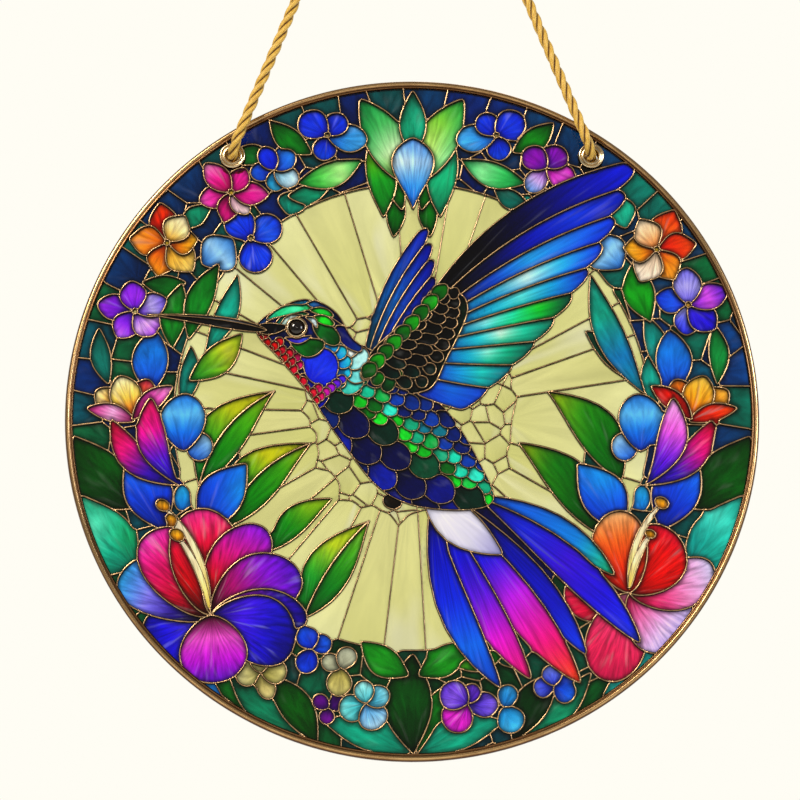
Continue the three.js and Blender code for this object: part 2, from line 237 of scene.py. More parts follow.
def gold_cord():
    """Polyester satin: bright gold where the fibres lie to the light, with painted shade, a dark
    ochre, in the grooves between the strands.
    """
    m = new_material("gold_satin_cord")
    uv = add(m, "ShaderNodeUVMap", {"uv_map": "lay"}).outputs[0]
    slant = add(m, "ShaderNodeMapping", None, {
        "Vector": uv, "Rotation": (0, 0, math.radians(24)), "Scale": (0.35, 5.5, 1.0),
    }).outputs[0]
    fibre = add(m, "ShaderNodeTexNoise", None, {
        "Vector": slant, "Scale": 1.0, "Detail": 3.0, "Roughness": 0.6,
    }).outputs[0]
    share = ranged(m, fibre, 0.36, 0.64, 0.0, 1.0)
    satin = blend_colours(m, share, linear("d09820"), linear("ffdc70"))
    # Painted shade: dark ochre where a strand lies close to the cord's middle, in the grooves.
    proud = add(m, "ShaderNodeAttribute", {"attribute_name": "proud"}).outputs["Fac"]
    colour = blend_colours(m, ranged(m, proud, 1.35, 2.1, 0.0, 1.0), linear("5c2c04"), satin)
    bump = add(m, "ShaderNodeBump", None, {"Strength": 0.55, "Distance": 0.00025, "Height": fibre})
    return finish_material(m, add(m, "ShaderNodeBsdfPrincipled", None, {
        "Base Color": colour, "Roughness": 0.42, "Sheen Weight": 0.25, "Sheen Roughness": 0.4,
        "Anisotropic": 0.5, "Normal": bump.outputs[0],
    }))


cord_material = gold_cord()
right_half = np.array([
    (0, 0, 2.2), (4.2, -0.1, 1.36), (7.78, -0.35, -1.02), (10.2, -0.75, -4.64),
    (21.1, -2.2, -32.9), (32, -3.6, -61.1), (42.9, -5, -89.4), (53.7, -6.4, -117.6),
    (64.6, -7.8, -145.9), (75.5, -9.2, -174.1), (77, -8.5, -177.7), (78.1, -6.4, -180.6),
    (78.8, -3.5, -182.1), (79, 0, -182.6), (79, 5, -182.6),
]) * MM
left_half = right_half[:0:-1] * (-1, 1, 1)
cord_route, cord_stations = smooth_route(np.vstack([left_half, right_half]), STRAND_STEP)
cord = strands("cord_strands", cord_route, cord_stations, cord_material)
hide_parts("cord")

# The knots: the same cord, led once round itself.
KNOT_WIDTH = 3.9 * MM
KNOT_START = 4.6 * MM
KNOT_REACH = 7.6 * MM
KNOT_LEAN = 0.34
KNOT_OPENING = 0.35
KNOT_TAIL = 0.1
KNOT_POINTS = 26


def knot(name, x, z):
    """An overhand knot: (2 + cos 3a) (cos 2a, sin 2a) across the cord, -sin 3a along it, open at
    one side, with a short tail."""
    a = np.linspace(KNOT_OPENING, 2 * np.pi - KNOT_TAIL, KNOT_POINTS)
    spread = (2 + np.cos(3 * a)) / 3 * KNOT_WIDTH
    points = np.column_stack([
        x + spread * np.cos(2 * a),
        KNOT_START + KNOT_REACH / 2 - np.sin(3 * a) * KNOT_REACH * KNOT_LEAN,
        z + spread * np.sin(2 * a),
    ])
    route, stations = smooth_route(points, STRAND_STEP)
    obj = strands(name, route, stations, cord_material)
    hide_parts("cord")
    return obj


EYELET_X = 79 * MM
EYELET_UP = 115.4 * MM
eyelet_places = [("left", -EYELET_X), ("right", EYELET_X)]
knots = [knot(f"cord_knot_{word}", x, EYELET_UP - PANEL_DROP) for word, x in eyelet_places]


# ------------------------------------------------------------------ eyelets and rim
# Turned brass eyelets are pressed through the panel near its top. The rim is a bronze hoop,
# bent from channel, with a fine bead along each lip; the glass stands in it.
# Faces within this depth of the front and back get a painted highlight, which also stands for wear.
SHEEN_AND_WEAR_DEPTH = 0.6 * MM


def turned(name, profile, sides, x, z, material):
    """A closed profile of (radius, y) turned round the Y axis: (r cos a, y, r sin a)."""
    angle = np.linspace(0, 2 * np.pi, sides, endpoint=False)[:, None]
    radius, depth = (np.array(profile) * MM).T
    points = np.stack([
        x + radius * np.cos(angle), np.broadcast_to(depth, (sides, len(depth))),
        z + radius * np.sin(angle),
    ], axis=-1).reshape(-1, 3)
    count = len(profile)
    i, j = np.meshgrid(np.arange(sides), np.arange(count), indexing="ij")
    a, b = i * count + j, i * count + (j + 1) % count
    c, d = (i + 1) % sides * count + (j + 1) % count, (i + 1) % sides * count + j
    obj = piece(name, points, np.stack([a, b, c, d], axis=-1).reshape(-1, 4), material)
    # A painted highlight on the faces that stand furthest out to front and back, also rubbed wear.
    edge = np.abs(depth).max() - SHEEN_AND_WEAR_DEPTH
    set_number(obj, "sheen_and_wear", np.tile(np.clip((np.abs(depth) - edge) / SHEEN_AND_WEAR_DEPTH, 0, 1), sides))
    return obj


def rounded_profile(corners, radius, steps=4):
    """Each corner of a closed profile drawn round: a quadratic curve between two points that lie
    a radius before and behind it."""
    corners = np.array(corners, dtype=float)
    t = np.linspace(0, 1, steps)[None, :, None]

    def towards(other):
        away = other - corners
        size = np.linalg.norm(away, axis=1)[:, None]
        return (corners + away / size * np.minimum(radius, size * 0.45))[:, None]

    a, c = towards(np.roll(corners, 1, axis=0)), towards(np.roll(corners, -1, axis=0))
    b = corners[:, None]
    return ((1 - t) ** 2 * a + 2 * t * (1 - t) * b + t ** 2 * c).reshape(-1, 2)


def metal(name, dark, bright, roughness, scale, relief=0.1):
    """A polished copper alloy: bright on the faces that stand furthest to front and back, a painted
    highlight that also stands for rubbed wear; dark elsewhere, a painted shade and patina.
    """
    m = new_material(name)
    place = add(m, "ShaderNodeTexCoord").outputs["Object"]
    cloud = add(m, "ShaderNodeTexNoise", None, {
        "Vector": place, "Scale": scale, "Detail": 4.0, "Roughness": 0.6,
    }).outputs[0]
    sheen_and_wear = add(m, "ShaderNodeAttribute", {"attribute_name": "sheen_and_wear"}).outputs["Fac"]
    share = add(m, "ShaderNodeMath", {"operation": "MULTIPLY"}, {
        0: sheen_and_wear, 1: ranged(m, cloud, 0.3, 0.65, 0.6, 1.0),
    }).outputs[0]
    colour = blend_colours(m, share, linear(dark), linear(bright))
    rough = ranged(m, cloud, 0.3, 0.7, roughness * 1.3, roughness * 0.8)
    bump = add(m, "ShaderNodeBump", None, {"Strength": relief, "Distance": 0.0003, "Height": cloud})
    return finish_material(m, add(m, "ShaderNodeBsdfPrincipled", None, {
        "Base Color": colour, "Metallic": 1.0, "Roughness": rough, "Normal": bump.outputs[0],
    }))


# Dark is painted shade together with patina, bright is painted highlight together with rubbed wear.
bronze = metal("polished_bronze", "54290f", "f0c88e", 0.24, 90)
brass = metal("turned_brass", "a87838", "fff0c8", 0.2, 160)
RIM_SIDES = 240
rim_profile = rounded_profile([
    (146.4, -1.7), (146.9, -2.6), (147.6, -2.2), (148.3, -3.0), (149.5, -2.6), (150, -1.4),
    (150, 1.4), (149.5, 2.6), (148.3, 3.0), (147.6, 2.2), (146.9, 2.6), (146.4, 1.7),
], 0.5)
rim = turned("rim_hoop", rim_profile, RIM_SIDES, 0, -PANEL_DROP, bronze)
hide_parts("rim")
EYELET_SIDES = 64
eyelet_half = [(3.05, 3.0), (3.7, 3.2), (4.3, 2.85), (4.7, 3.15), (5.4, 3.2), (5.8, 2.6), (5.6, 2.35)]
eyelet_profile = rounded_profile(
    [(r, -y) for r, y in eyelet_half] + [(4.0, -2.2), (4.0, 2.2)]
    + [(r, y) for r, y in eyelet_half[::-1]], 0.3, 3)
for word, x in eyelet_places:
    eyelet = turned(f"eyelet_{word}_turned", eyelet_profile, EYELET_SIDES, x,
                    EYELET_UP - PANEL_DROP, brass)
    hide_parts(f"eyelet_{word}")


# ------------------------------------------------------------------ how a pane is drawn
# Every pane is an outline with its colours from base to tip. Panes are listed from the front
# to the back: one in front is cut out of all those behind it.
# Along the finest lead the glass has no painted shade: it counts as further from the lead.
panes = []
clips = []
# Panes with the finest lead get no painted shade towards it.
FINEST_LEAD = 0.6
UNSHADED = 2.0


def polar(distance, angle, centre=(0, 0)):
    """Points at a distance from a centre, with the angle in degrees from the +X side."""
    a = np.radians(angle)
    return np.stack([centre[0] + distance * np.cos(a), centre[1] + distance * np.sin(a)], axis=-1)


def circle(centre, radius, sides=20, squash=1.0, tilt=0):
    """An ellipse: radius across at the tilt, radius times squash the other way."""
    a = np.linspace(0, 2 * np.pi, sides, endpoint=False)
    x, y = radius * np.cos(a), radius * squash * np.sin(a)
    c, s = math.cos(math.radians(tilt)), math.sin(math.radians(tilt))
    return np.column_stack([centre[0] + c * x - s * y, centre[1] + s * x + c * y])


def spline(corners, steps=5):
    """Closed Catmull-Rom curve through the corners."""
    b = np.array(corners, dtype=float)
    a, c, d = np.roll(b, 1, axis=0), np.roll(b, -1, axis=0), np.roll(b, -2, axis=0)
    t = np.linspace(0, 1, steps, endpoint=False)[None, :, None]
    a, b, c, d = a[:, None], b[:, None], c[:, None], d[:, None]
    return (0.5 * (2 * b + (c - a) * t + (2 * a - 5 * b + 4 * c - d) * t ** 2
                   + (3 * b - a - 3 * c + d) * t ** 3)).reshape(-1, 2)


def bowed(base, tip, bow, t):
    """Points t along a line that swings to its left by 4 bow t (1 - t) of its length."""
    base, along = np.asarray(base, float), np.subtract(tip, base)
    side = np.array([-along[1], along[0]])
    t = np.asarray(t)[..., None]
    return base + along * t + side * 4 * bow * t * (1 - t)


def blade(base, tip, width, bow=0.0, skew=1.0, blunt=1.0, low=-1.0, high=1.0, steps=13):
    """A leaf or petal: half its width is sin(pi t ** skew) ** blunt, on both sides of a bowed
    middle line. With low or high 0 it is only the half on one side."""
    t = (1 - np.cos(np.linspace(0, np.pi, steps))) / 2
    middle = bowed(base, tip, bow, t)
    along = np.subtract(tip, base)
    side = np.array([-along[1], along[0]]) / np.linalg.norm(along)
    half = (width / 2 * np.maximum(np.sin(np.pi * t ** skew), 0) ** blunt)[:, None]
    return np.vstack([middle + side * half * low, (middle + side * half * high)[-2:0:-1]])


def pane(node, ring, colours, base=None, tip=None, other=None, lead=1.5, clip=None):
    """Lists a pane: its colours, as hex codes, run from the base to the tip, and other's along
    its left side. A clip is the number of an outline that it is cut off along."""
    ring = np.asarray(ring, float)
    middle = ring.mean(axis=0)
    base = middle - (0, 6) if base is None else np.asarray(base, float)
    tip = 2 * middle - base if tip is None else np.asarray(tip, float)
    panes.append({
        "node": node, "ring": ring, "base": base, "tip": tip, "lead": lead, "clip": clip,
        "unshaded": UNSHADED if lead < FINEST_LEAD else 0.0,
        "colours": colours.split(), "other": (other or colours).split(),
    })


def leaf(node, base, tip, width, colours, other=None, bow=0.0, skew=0.9, cut=True, **more):
    """A leaf in one pane, or cut in two along its middle line."""
    if not cut:
        pane(node, blade(base, tip, width, bow, skew), colours, base, tip, other, **more)
        return
    pane(node, blade(base, tip, width, bow, skew, low=-1, high=0), colours, base, tip, **more)
    pane(node, blade(base, tip, width, bow, skew, low=0, high=1), other or colours, base, tip, **more)


def flower(node, centre, petals, blunt=0.62, skew=1.25, heart=None, lead=1.3):
    """Petals round a centre, front first, each with its angle, length, width and colours."""
    if heart:
        pane(node, circle(centre, 1.5, 10), heart, lead=0.9)
    for angle, length, width, colours, *bow in petals:
        tip = polar(length, angle, centre)
        ring = blade(centre, tip, width, bow[0] if bow else 0, skew, blunt)
        pane(node, ring, colours, centre, tip, lead=lead)


# ------------------------------------------------------------------ the hummingbird
# It hovers to the left, wings raised. Head and throat are small scales of painted glass.
body_ring = spline([
    (-68, 37), (-58, 46.5), (-45, 50.5), (-33, 44.5), (-25, 32), (-10, 23), (14, 2), (29, -22),
    (34, -40), (8, -42), (-13, -34), (-31, -12), (-45, 9), (-58, 24.5),
])
clips.append(body_ring)
BODY = 0

# The beak: a pale upper edge over a black one.
beak = {"bow": -0.02, "skew": 0.6}
pane("glass_beak", blade((-63, 36.5), (-115, 43.5), 4.8, low=-1, high=-0.4, **beak),
     "3a3436 d8d4d8 aca8ac 4a4648", (-63, 36.5), (-115, 43.5), lead=0.6)
pane("glass_beak", blade((-63, 36.5), (-115, 43.5), 4.8, low=-0.4, high=1, **beak),
     "080606 1c181a 0a0809", (-63, 36.5), (-115, 43.5), lead=0.6)

# The wing is a fan of feathers between two bowed lines that run out from roots to ends.
wing = {
    "count": 10, "roots": [(9, 54), (36, 46), (2, 8)], "ends": [(95, 113), (82, 50), (22, 1)],
    "bows": (0.1, -0.02), "shoulder": 0.985, "reach": 1.045,
}
far_wing = {
    "count": 5, "roots": [(-21, 25), (-17, 24), (-9, 22)], "ends": [(4.5, 83), (11, 68), (9, 44)],
    "bows": (0.07, 0.03), "shoulder": 0.97, "reach": 1.04,
}


def quadratic(points, t):
    """A curve that starts at the first point, leaves towards the second and ends at the third."""
    a, b, c = np.asarray(points, float)
    t = np.asarray(t)[..., None]
    return (1 - t) ** 2 * a + 2 * t * (1 - t) * b + t ** 2 * c


def fan_point(fan, line, t):
    """The point t of the way out along a fan's line, which may lie between two whole ones."""
    s = np.asarray(line, float) / fan["count"]
    bow = fan["bows"][0] + (fan["bows"][1] - fan["bows"][0]) * np.sqrt(s)
    base, tip = quadratic(fan["roots"], s), quadratic(fan["ends"], s)
    along = tip - base
    side = np.stack([-along[..., 1], along[..., 0]], axis=-1)
    t = np.asarray(t, float)
    return base + along * t[..., None] + side * (4 * bow * t * (1 - t))[..., None]


def feather(fan, line, start=0.0):
    """A feather's outline: out along its upper line, round its tip and back along its lower one."""
    out = np.linspace(start, fan["shoulder"], 16)
    across = np.linspace(0, 1, 9)[1:-1]
    swell = np.sin(np.pi * across) ** 0.8
    tip = fan_point(fan, line + across, fan["shoulder"] + (fan["reach"] - fan["shoulder"]) * swell)
    return np.vstack([
        fan_point(fan, np.full(16, line), out), tip, fan_point(fan, np.full(16, line + 1), out[::-1]),
    ])


# Rows of small black coverts lie over the feathers' roots, and green ones along the shoulder.
covert_rows = [
    [(8, 52), (-6, 32), (-14, 15)], [(13, 53), (5, 33), (-7, 12)], [(17, 53.5), (16, 34), (-1, 9.5)],
    [(20.5, 53), (25, 36), (2.5, 6)],
]
shoulder = [(-23, 17), (-8, 34), (11, 55.5)]
for i in range(9):
    s = i / 9
    base, tip = quadratic(shoulder, s), quadratic(shoulder, s + 0.19)
    out = "0a4c18 1c9c20 2cc828" if i % 2 else "063c14 0c6a1c 18881c"
    pane("glass_wing_coverts", blade(base + (1.5, -2.2), tip + (1.5, -1.5), 7.0, 0.03, 1.1, 0.8),
         out, base, tip, lead=0.65)
for row in range(3):
    for line in range(9):
        s = (line + 0.5 * (row % 2)) / 9
        base = quadratic(covert_rows[row], s)
        tip = quadratic(covert_rows[row + 1], s + 0.02)
        base = base - (tip - base) * 0.35
        pane("glass_wing_coverts", blade(base, tip, 5.9, 0.04, 1.3, 0.7),
             "020303 06090a 141c1e" if line < 7 else "020504 06201c 0c3c34", base, tip, lead=0.65)
for row in range(3):
    for k in range(4 - row):
        place = np.array((-19.5 + 4.6 * row + 3.4 * k, 17.5 - 2.6 * row + 4.4 * k))
        pane("glass_wing_coverts", circle(place, 2.9, 12, 1.25, -35),
             ("0c5c18 28b028", "084814 149024", "063018 0c6c30")[(row + k) % 3],
             place - (2, 2), place + (2, 2), lead=0.65)
pane("glass_wing_coverts", spline([
    (-19, 24), (-4, 40), (10, 55), (21, 53), (24, 44), (15, 24), (7, 10), (-8, 12),
]), "06140e 0a2818", (-19, 24), (20, 50), lead=1.0)

wing_colours = [
    ("020208 030414 060a50 1018b0 1828e8", None),
    ("020210 061050 0c20c0 1848f0 1430d0", "020208 040a38 0a18a0 1030e0 1020b0"),
    ("0c3088 1058d8 30b0f8 2888f8 1850f0", "061050 0c38c0 1458f0 1850f0 1438e0"),
    ("1478b8 30b8e8 d8ffff 38c8ff 1c60f8", "0c60b8 1890e8 48c0f8 1c80f8 1448f0"),
    ("1478b8 20b8e0 70f0f0 20b0e8 1858e8", "1080c8 18c8e8 18d8d8 1490e0 1450d8"),
    ("1890c8 a0f4f8 30e8c0 18e038 0c6c50", "1488b8 28d8e0 20e090 10b048 085040"),
    ("1890d0 30d8e8 e0fff0 28dcb8 0c9078", "1480c8 20c8e0 20d8b0 14b090 0a6c60"),
    ("1880d8 20c8f0 a8fff0 18c8a0 0a8070", "1478d0 18b8e0 20d0b0 10a080 086858"),
    ("1868e0 20b0f0 30e0d8 1090a0", "1460d8 18a0e8 18b8b8 0c7080"),
    ("1450e0 1c80f0 1c60e8", "0c40c8 1468e8 1850d0"),
]
for line, (colours, lower) in enumerate(wing_colours):
    ends = fan_point(wing, line + 0.5, 0.0), fan_point(wing, line + 0.5, 1.03)
    group = (line > 1) + (line > 3) + (line > 5) + 1
    pane(f"glass_wing_feathers_{group}", feather(wing, line), lower or colours, *ends, other=colours,
         lead=1.25)

# The head, front first: eye, brow, lore, cheek, then the bands over the crown.
eye = np.array((-50.2, 37.7))
head_panes = [
    (circle(eye, 4.7, 24), "0a0806 1a120c", None, None, 1.1),
    (blade((-47.2, 42.6), (-41.2, 36.6), 2.6, 0.22), "f8ffff d0f0f8", None, None, 0.7),
    (blade((-57.5, 38.8), (-47, 42.9), 2.2, 0.16), "c8f8e8 ffffff", None, None, 0.7),
    (blade((-69, 37.6), (-53, 38.4), 5.2, -0.05, 0.8), "06060a 101420", None, None, 0.8),
    (blade((-56, 33.6), (-43, 34.6), 3.2, -0.16), "3010a0 5a48f0 2880f0", (-56, 33.6), (-43, 34.6), 0.8),
    (spline([(-53, 32.5), (-44, 33), (-38, 31.5), (-40, 26.5), (-46, 24.5), (-51, 28)]),
     "109030 0c7424 085018", (-53, 33), (-40, 27), 0.9),
    (blade((-43.5, 42.4), (-33.2, 38.6), 4.2, 0.06, blunt=0.7), "18c030 30f038 18b828",
     (-43.5, 42.4), (-33.2, 38.6), 0.8),
    (blade((-45, 45.4), (-33.5, 42.4), 3.6, 0.1, blunt=0.7), "10a830 28e048 0c9028",
     (-45, 45.4), (-33.5, 42.4), 0.8),
    (spline([(-43, 40), (-35, 38.5), (-31, 33), (-33, 29.5), (-38, 31), (-42, 35)]),
     "109038 0c7028 084c1c", (-43, 40), (-33, 31), 0.9),
    (blade((-64, 41), (-43, 46.2), 4.4, 0.1, blunt=0.8), "18b8a8 30e8a0 60f8c0 20c060",
     (-64, 41), (-43, 46.2), 0.8),
    (blade((-60, 38.6), (-44, 43.6), 3.4, 0.14, blunt=0.8), "0c8c88 28d8a8 18a860",
     (-60, 38.6), (-44, 43.6), 0.8),
    (blade((-67.5, 38.5), (-44, 50), 6.5, 0.12, blunt=0.6), "1868d0 1c98d8 28c0d8 1478b8",
     (-67.5, 38.5), (-44, 50), 0.9),
    (blade((-46, 48.6), (-28, 38), 6.5, 0.16, blunt=0.6), "1888c0 0c48a0 0a1870 080c40",
     (-46, 48.6), (-28, 38), 0.9),
    (blade((-33, 38.5), (-22, 27), 7.5, 0.02, blunt=0.6), "0a1868 101c80 0c4898",
     (-33, 38.5), (-22, 27), 0.9),
]
for ring, colours, base, tip, lead in head_panes:
    pane("glass_head", ring, colours, base, tip, lead=lead, clip=BODY)

# The throat: small round scales, red along its front edge, then magenta and violet.
gorget = np.array((-39.4, 20.6))
throat_colours = ["e81010", "f01830", "e81850", "f020a0", "e020e0", "9a20f8", "5a30f0"]
chin = np.array((-70.2, 34.2))
down_throat = np.array((0.633, -0.774))
into_throat = np.array((0.774, 0.633))
THROAT_STEP = 3.35
THROAT_SCALE = 3.0
for row in range(13):
    for k in range(7):
        place = chin + down_throat * (THROAT_STEP * row)
        place = place + into_throat * (THROAT_SCALE * (k + 0.5 * (row % 2)) + 0.4)
        if k > 1 + row * 0.42 or np.hypot(*(place - eye)) < 8 or np.hypot(*(place - gorget)) < 9.5:
            continue
        share = (k + (0.9 if row > 6 else 0.3) - (0.8 if row < 4 else 0)) * 1.15
        tint = throat_colours[int(np.clip(share, 0, 6))]
        dim = throat_colours[int(np.clip(share - 1, 0, 6))]
        node = "glass_gorget" if share > 4.6 else "glass_throat"
        pane(node, circle(place, 2.25, 10, 1.1, -40), f"{dim} {tint}", place - (1.6, -2),
             place + (1.6, -2), lead=0.6, clip=BODY)
pane("glass_gorget", circle(gorget, 7.6, 24, 1.1), "1020d8 2848ff 1830e8", (-44, 14),
     (-35, 28), lead=0.9, clip=BODY)
for k in range(5):
    base, tip = polar(6.6, 64 - 26 * k, gorget), polar(13.6, 62 - 26 * k, gorget)
    pane("glass_gorget", blade(base, tip, 6.6, 0.02, 0.9, 0.45), "1468d8 20b8f0 30d8e8", base, tip,
         lead=0.8, clip=BODY)
pane("glass_gorget", circle((-45, 9), 9.5, 20, 0.9), "1018c0 1c28f0 0c10a0", (-46, 2), (-44, 17),
     lead=0.9, clip=BODY)
neck = [((-32, 33), "28a0d8 d8ffff"), ((-27.5, 29), "60e0f0 ffffff"), ((-24, 24), "30c8e0 c8ffff"),
        ((-23, 18), "20b8c8 90f0f0"), ((-26, 13), "18a8b0 50e0d0")]
for place, colours in neck:
    pane("glass_back", circle(place, 4.6, 14, 1.3, -48), colours, (-36, 22), place, lead=0.8, clip=BODY)

# Back, breast and belly: rows of scales that point to the tail, greener towards the back.
tailwards = np.array((0.79, -0.613))
backwards = np.array((0.613, 0.79))
random = np.random.default_rng(7)
# Scales stand in rows across the body, from the nape down, and the belly's are larger.
NAPE = 17
SCALE_STEP = 5.2
ROW_STEP = 5.9
SCALE_SHIFT = 0.7
SCALE_LENGTH = 9.4
SCALE_WIDTH = 7.0
BELLY_BAND = 3
BELLY_GROWTH = 1.8
body_bands = [
    (9.5, ["0c3c98", "1050c0", "0c2c80", "1488a0"]),
    (4.5, ["18d8b0", "28e8c8", "10c060", "40f0d8", "18b890"]),
    (-1.5, ["18c830", "10a828", "28f040", "0c9020", "18e060", "0c7828"]),
    (-7.5, ["0a5c40", "0c4c48", "06382c", "107858"]),
    (-99, ["101c90", "0a1258", "1428b0", "0c3080"]),
]
for row in range(15):
    for k in range(9):
        across = NAPE - SCALE_STEP * k - SCALE_STEP / 2 * (row % 2)
        start = np.array((-37, 15)) + tailwards * (ROW_STEP * row) + backwards * across
        start = start + random.uniform(-SCALE_SHIFT, SCALE_SHIFT, 2)
        if not (-60 < start[0] < 36):
            continue
        band = next(i for i, (limit, _) in enumerate(body_bands) if across > limit - 0.08 * row)
        tint = body_bands[band][1][int(random.integers(len(body_bands[band][1])))]
        dim = "%02x%02x%02x" % tuple(int(int(tint[i:i + 2], 16) * 0.42) for i in (0, 2, 4))
        if band >= BELLY_BAND and (row % 2 or (k + row // 2) % 2):
            continue
        grow = BELLY_GROWTH if band >= BELLY_BAND else 1.0
        tip = start + tailwards * SCALE_LENGTH * grow
        node = "glass_back" if band < BELLY_BAND else "glass_belly"
        pane(node, blade(start - tailwards * 1.5, tip, SCALE_WIDTH * grow, 0, 1.35, 0.55),
             f"{dim} {tint} {tint}", start, tip, lead=0.6, clip=BODY)

# Black toes, the white undertail, and the body's own glass behind all its scales.
for place in ((-8.5, -39), (1.5, -38), (6, -35.5)):
    pane("glass_belly", circle(place, 4.4, 14, 0.75, -15), "060404 3a2410", lead=0.9)
pane("glass_undertail", blade((4, -33), (39, -62), 17, -0.05, 0.95, 0.9),
     "c8c8f0 f8f4ff e8e4fc a8a4e0", (4, -33), (39, -62), lead=1.1)
pane("glass_back", body_ring, "0a1c70 080e40", (-20, 10), (30, -30), lead=1.1)

# The far wing, behind the body, and the long tail feathers, the lowest one in front.
far_colours = ["0c5860 1468b8 1838d0", "0c5890 1c80e0 1020b8", "1028b0 1c68e8 0c1ca8",
               "0c1080 1850d8 0c1098", "080c60 1028c0 080c78"]
for line, colours in enumerate(far_colours):
    ends = fan_point(far_wing, line + 0.5, 0.0), fan_point(far_wing, line + 0.5, 1.0)
    pane("glass_far_wing", feather(far_wing, line), colours, *ends, lead=1.0)
tail = [
    (4, (28, -37), (97, -100), 14.5, 0.05, "0c1890 2030e0 4818e0 3020f0 2048f8"),
    (1, (8, -38), (37.5, -119), 14, -0.08, "080c60 1018c8 1838f0 1878f8 1850d0"),
    (2, (13, -40), (50.5, -115.5), 14, -0.05, "080c70 1818e0 7020f0 f020e0 f82880"),
    (3, (18, -41), (71.4, -117), 16.5, -0.02, "0a1090 2020f0 d028f8 f82098 f85820"),
    (4, (24, -41), (74, -105), 13, 0.02, "080c60 1018b8 2020d0 1c50f8"),
    (4, (30, -36), (86.5, -71), 11, 0.07, "1058c8 1878f0 1890e8 28d890"),
    (4, (28, -38), (82, -84), 12, 0.06, "1870e0 18b8f0 20e0e0"),
]
for number, base, tip, width, bow, colours in tail:
    pane(f"glass_tail_feather_{number}", blade(base, tip, width, bow, 1.25, 0.75), colours, base, tip,
         lead=1.2)
pane("glass_tail_feather_1", spline([(6, -38), (36, -36), (62, -62), (48, -84), (20, -82)]),
     "060a50 0c1478", (15, -40), (45, -80), lead=1.0)


# ------------------------------------------------------------------ flowers and leaves
# A wreath of garden flowers, nearly the same on both sides, with leaves that reach inwards.
# Stamens stand in front of each hibiscus: anthers on two thin stalks.
def stamen(node, anthers, foot, sway):
    """Anthers on two stalks, which run from the foot to the last and to the first of them."""
    for place, size in anthers:
        pane(node, circle(place, size, 12, 1.35, 60), "a85808 f8b020 ffe060", lead=0.8)
    for place, bow in ((anthers[-1][0], 0.6), (anthers[0][0], 1.0)):
        pane(node, blade(foot, place, 2.8, bow * sway, 1.0, 0.35), "f8d860 fff0c0 f8e8d0", foot,
             place, lead=0.5)


def petals(shapes, colours):
    """Petals with one colour run each."""
    return [(*shape, tint) for shape, tint in zip(shapes, colours)]


stamen("glass_hibiscus_left", [((-107, -40.5), 2.6), ((-103.2, -46.5), 2.2), ((-100.6, -53.4), 2.7)],
       (-86.2, -86), -0.1)
flower("glass_hibiscus_left", (-85.5, -88), [
    (-86, 29, 29, "50082a f060d8 c818e0 6010c0"),
    (-24, 38, 29, "2a0a80 5020f0 2818d0 141080", 0.08),
    (-2, 41, 18, "700860 c030d8 5018d8 1c0a90", 0.08),
    (26, 42, 28, "500420 b81080 9818e0 6014d0", 0.06),
    (61, 44, 25, "600410 d80c30 d818a0 9820f0", 0.04),
    (98, 46.5, 31, "500404 c80418 e81048 f040a0", -0.02),
    (129, 45, 30, "500410 c80838 e8187c f048c8", -0.06),
    (158, 43, 28, "200418 3820a0 9088f8 38b8f8", -0.1),
    (206, 31, 30, "100440 5040e0 2818e0 1410a8", 0.06),
], 0.45, 1.25)
stamen("glass_hibiscus_right", [((107, -39.5), 2.6), ((102, -53), 2.0)], (92.5, -77), 0.1)
flower("glass_hibiscus_right", (92.5, -78.5), [
    (97, 36, 24, "b00c04 f04010 f87830 fcc890", 0.04),
    (58, 33, 28, "980404 e01010 f01818 d81040", -0.05),
    (17, 38, 21, "c00838 f04890 f8a8e0 d8d8ff", -0.08),
    (-38, 31, 30, "b01048 f080c0 e8c8fc b0a8f8", -0.04),
    (-106, 39, 26, "f090b8 f04880 e83068 c82058"),
    (182, 28, 21, "700420 c80c3c e83060", 0.05),
], 0.45, 1.25)

# The trumpet flowers: a cup of three petals with two flaps, on a long two-pane throat.
trumpets = [
    ("left", 1, "e83008 f8a830 fff4c0", "f05008 fcd860 fffad8", "f04808 f88828 e84070",
     "a01058 f050c0 fcb0e8", "a01060 f8b8e8 e82898",
     "1810c0 6018d8 f818a8 e8206a", "100c80 4a14c0 e81890 c8103a"),
    ("right", -1, "e83808 f8a020 fcc050", "f06008 fcb020 fcd868", "e82808 f86818 f89828",
     "a00808 f02818 c81010", "a80808 f83818 f06018",
     "1810c8 7820e8 f870f0 fcc0f8", "1410a0 5018c8 e81898 c80838"),
]
for word, sign, one, two, three, flap, flap2, throat, throat2 in trumpets:
    turn = np.array((sign, 1))
    shapes = [
        ((-100, -32), (-113, 7), 13, 0.13, 1.25, 0.8, throat),
        ((-100, -32), (-130, -3), 12, 0.13, 1.25, 0.8, throat2),
        ((-121, -3), (-103, 12), 9, 0.05, 1.0, 0.9, flap),
        ((-119, -4), (-141, 2), 8, -0.05, 1.0, 0.9, flap2),
        ((-120, -3), (-127, 16.5), 14, 0, 1.2, 0.7, two),
        ((-120, -3), (-137, 10), 13, 0, 1.2, 0.7, one),
        ((-120, -3), (-114, 15), 13, 0, 1.2, 0.7, three),
    ]
    for base, tip, width, bow, skew, blunt, colours in shapes:
        pane(f"glass_trumpet_{word}", blade(base * turn, tip * turn, width, bow * sign, skew, blunt),
             colours, base * turn, tip * turn, lead=1.3)

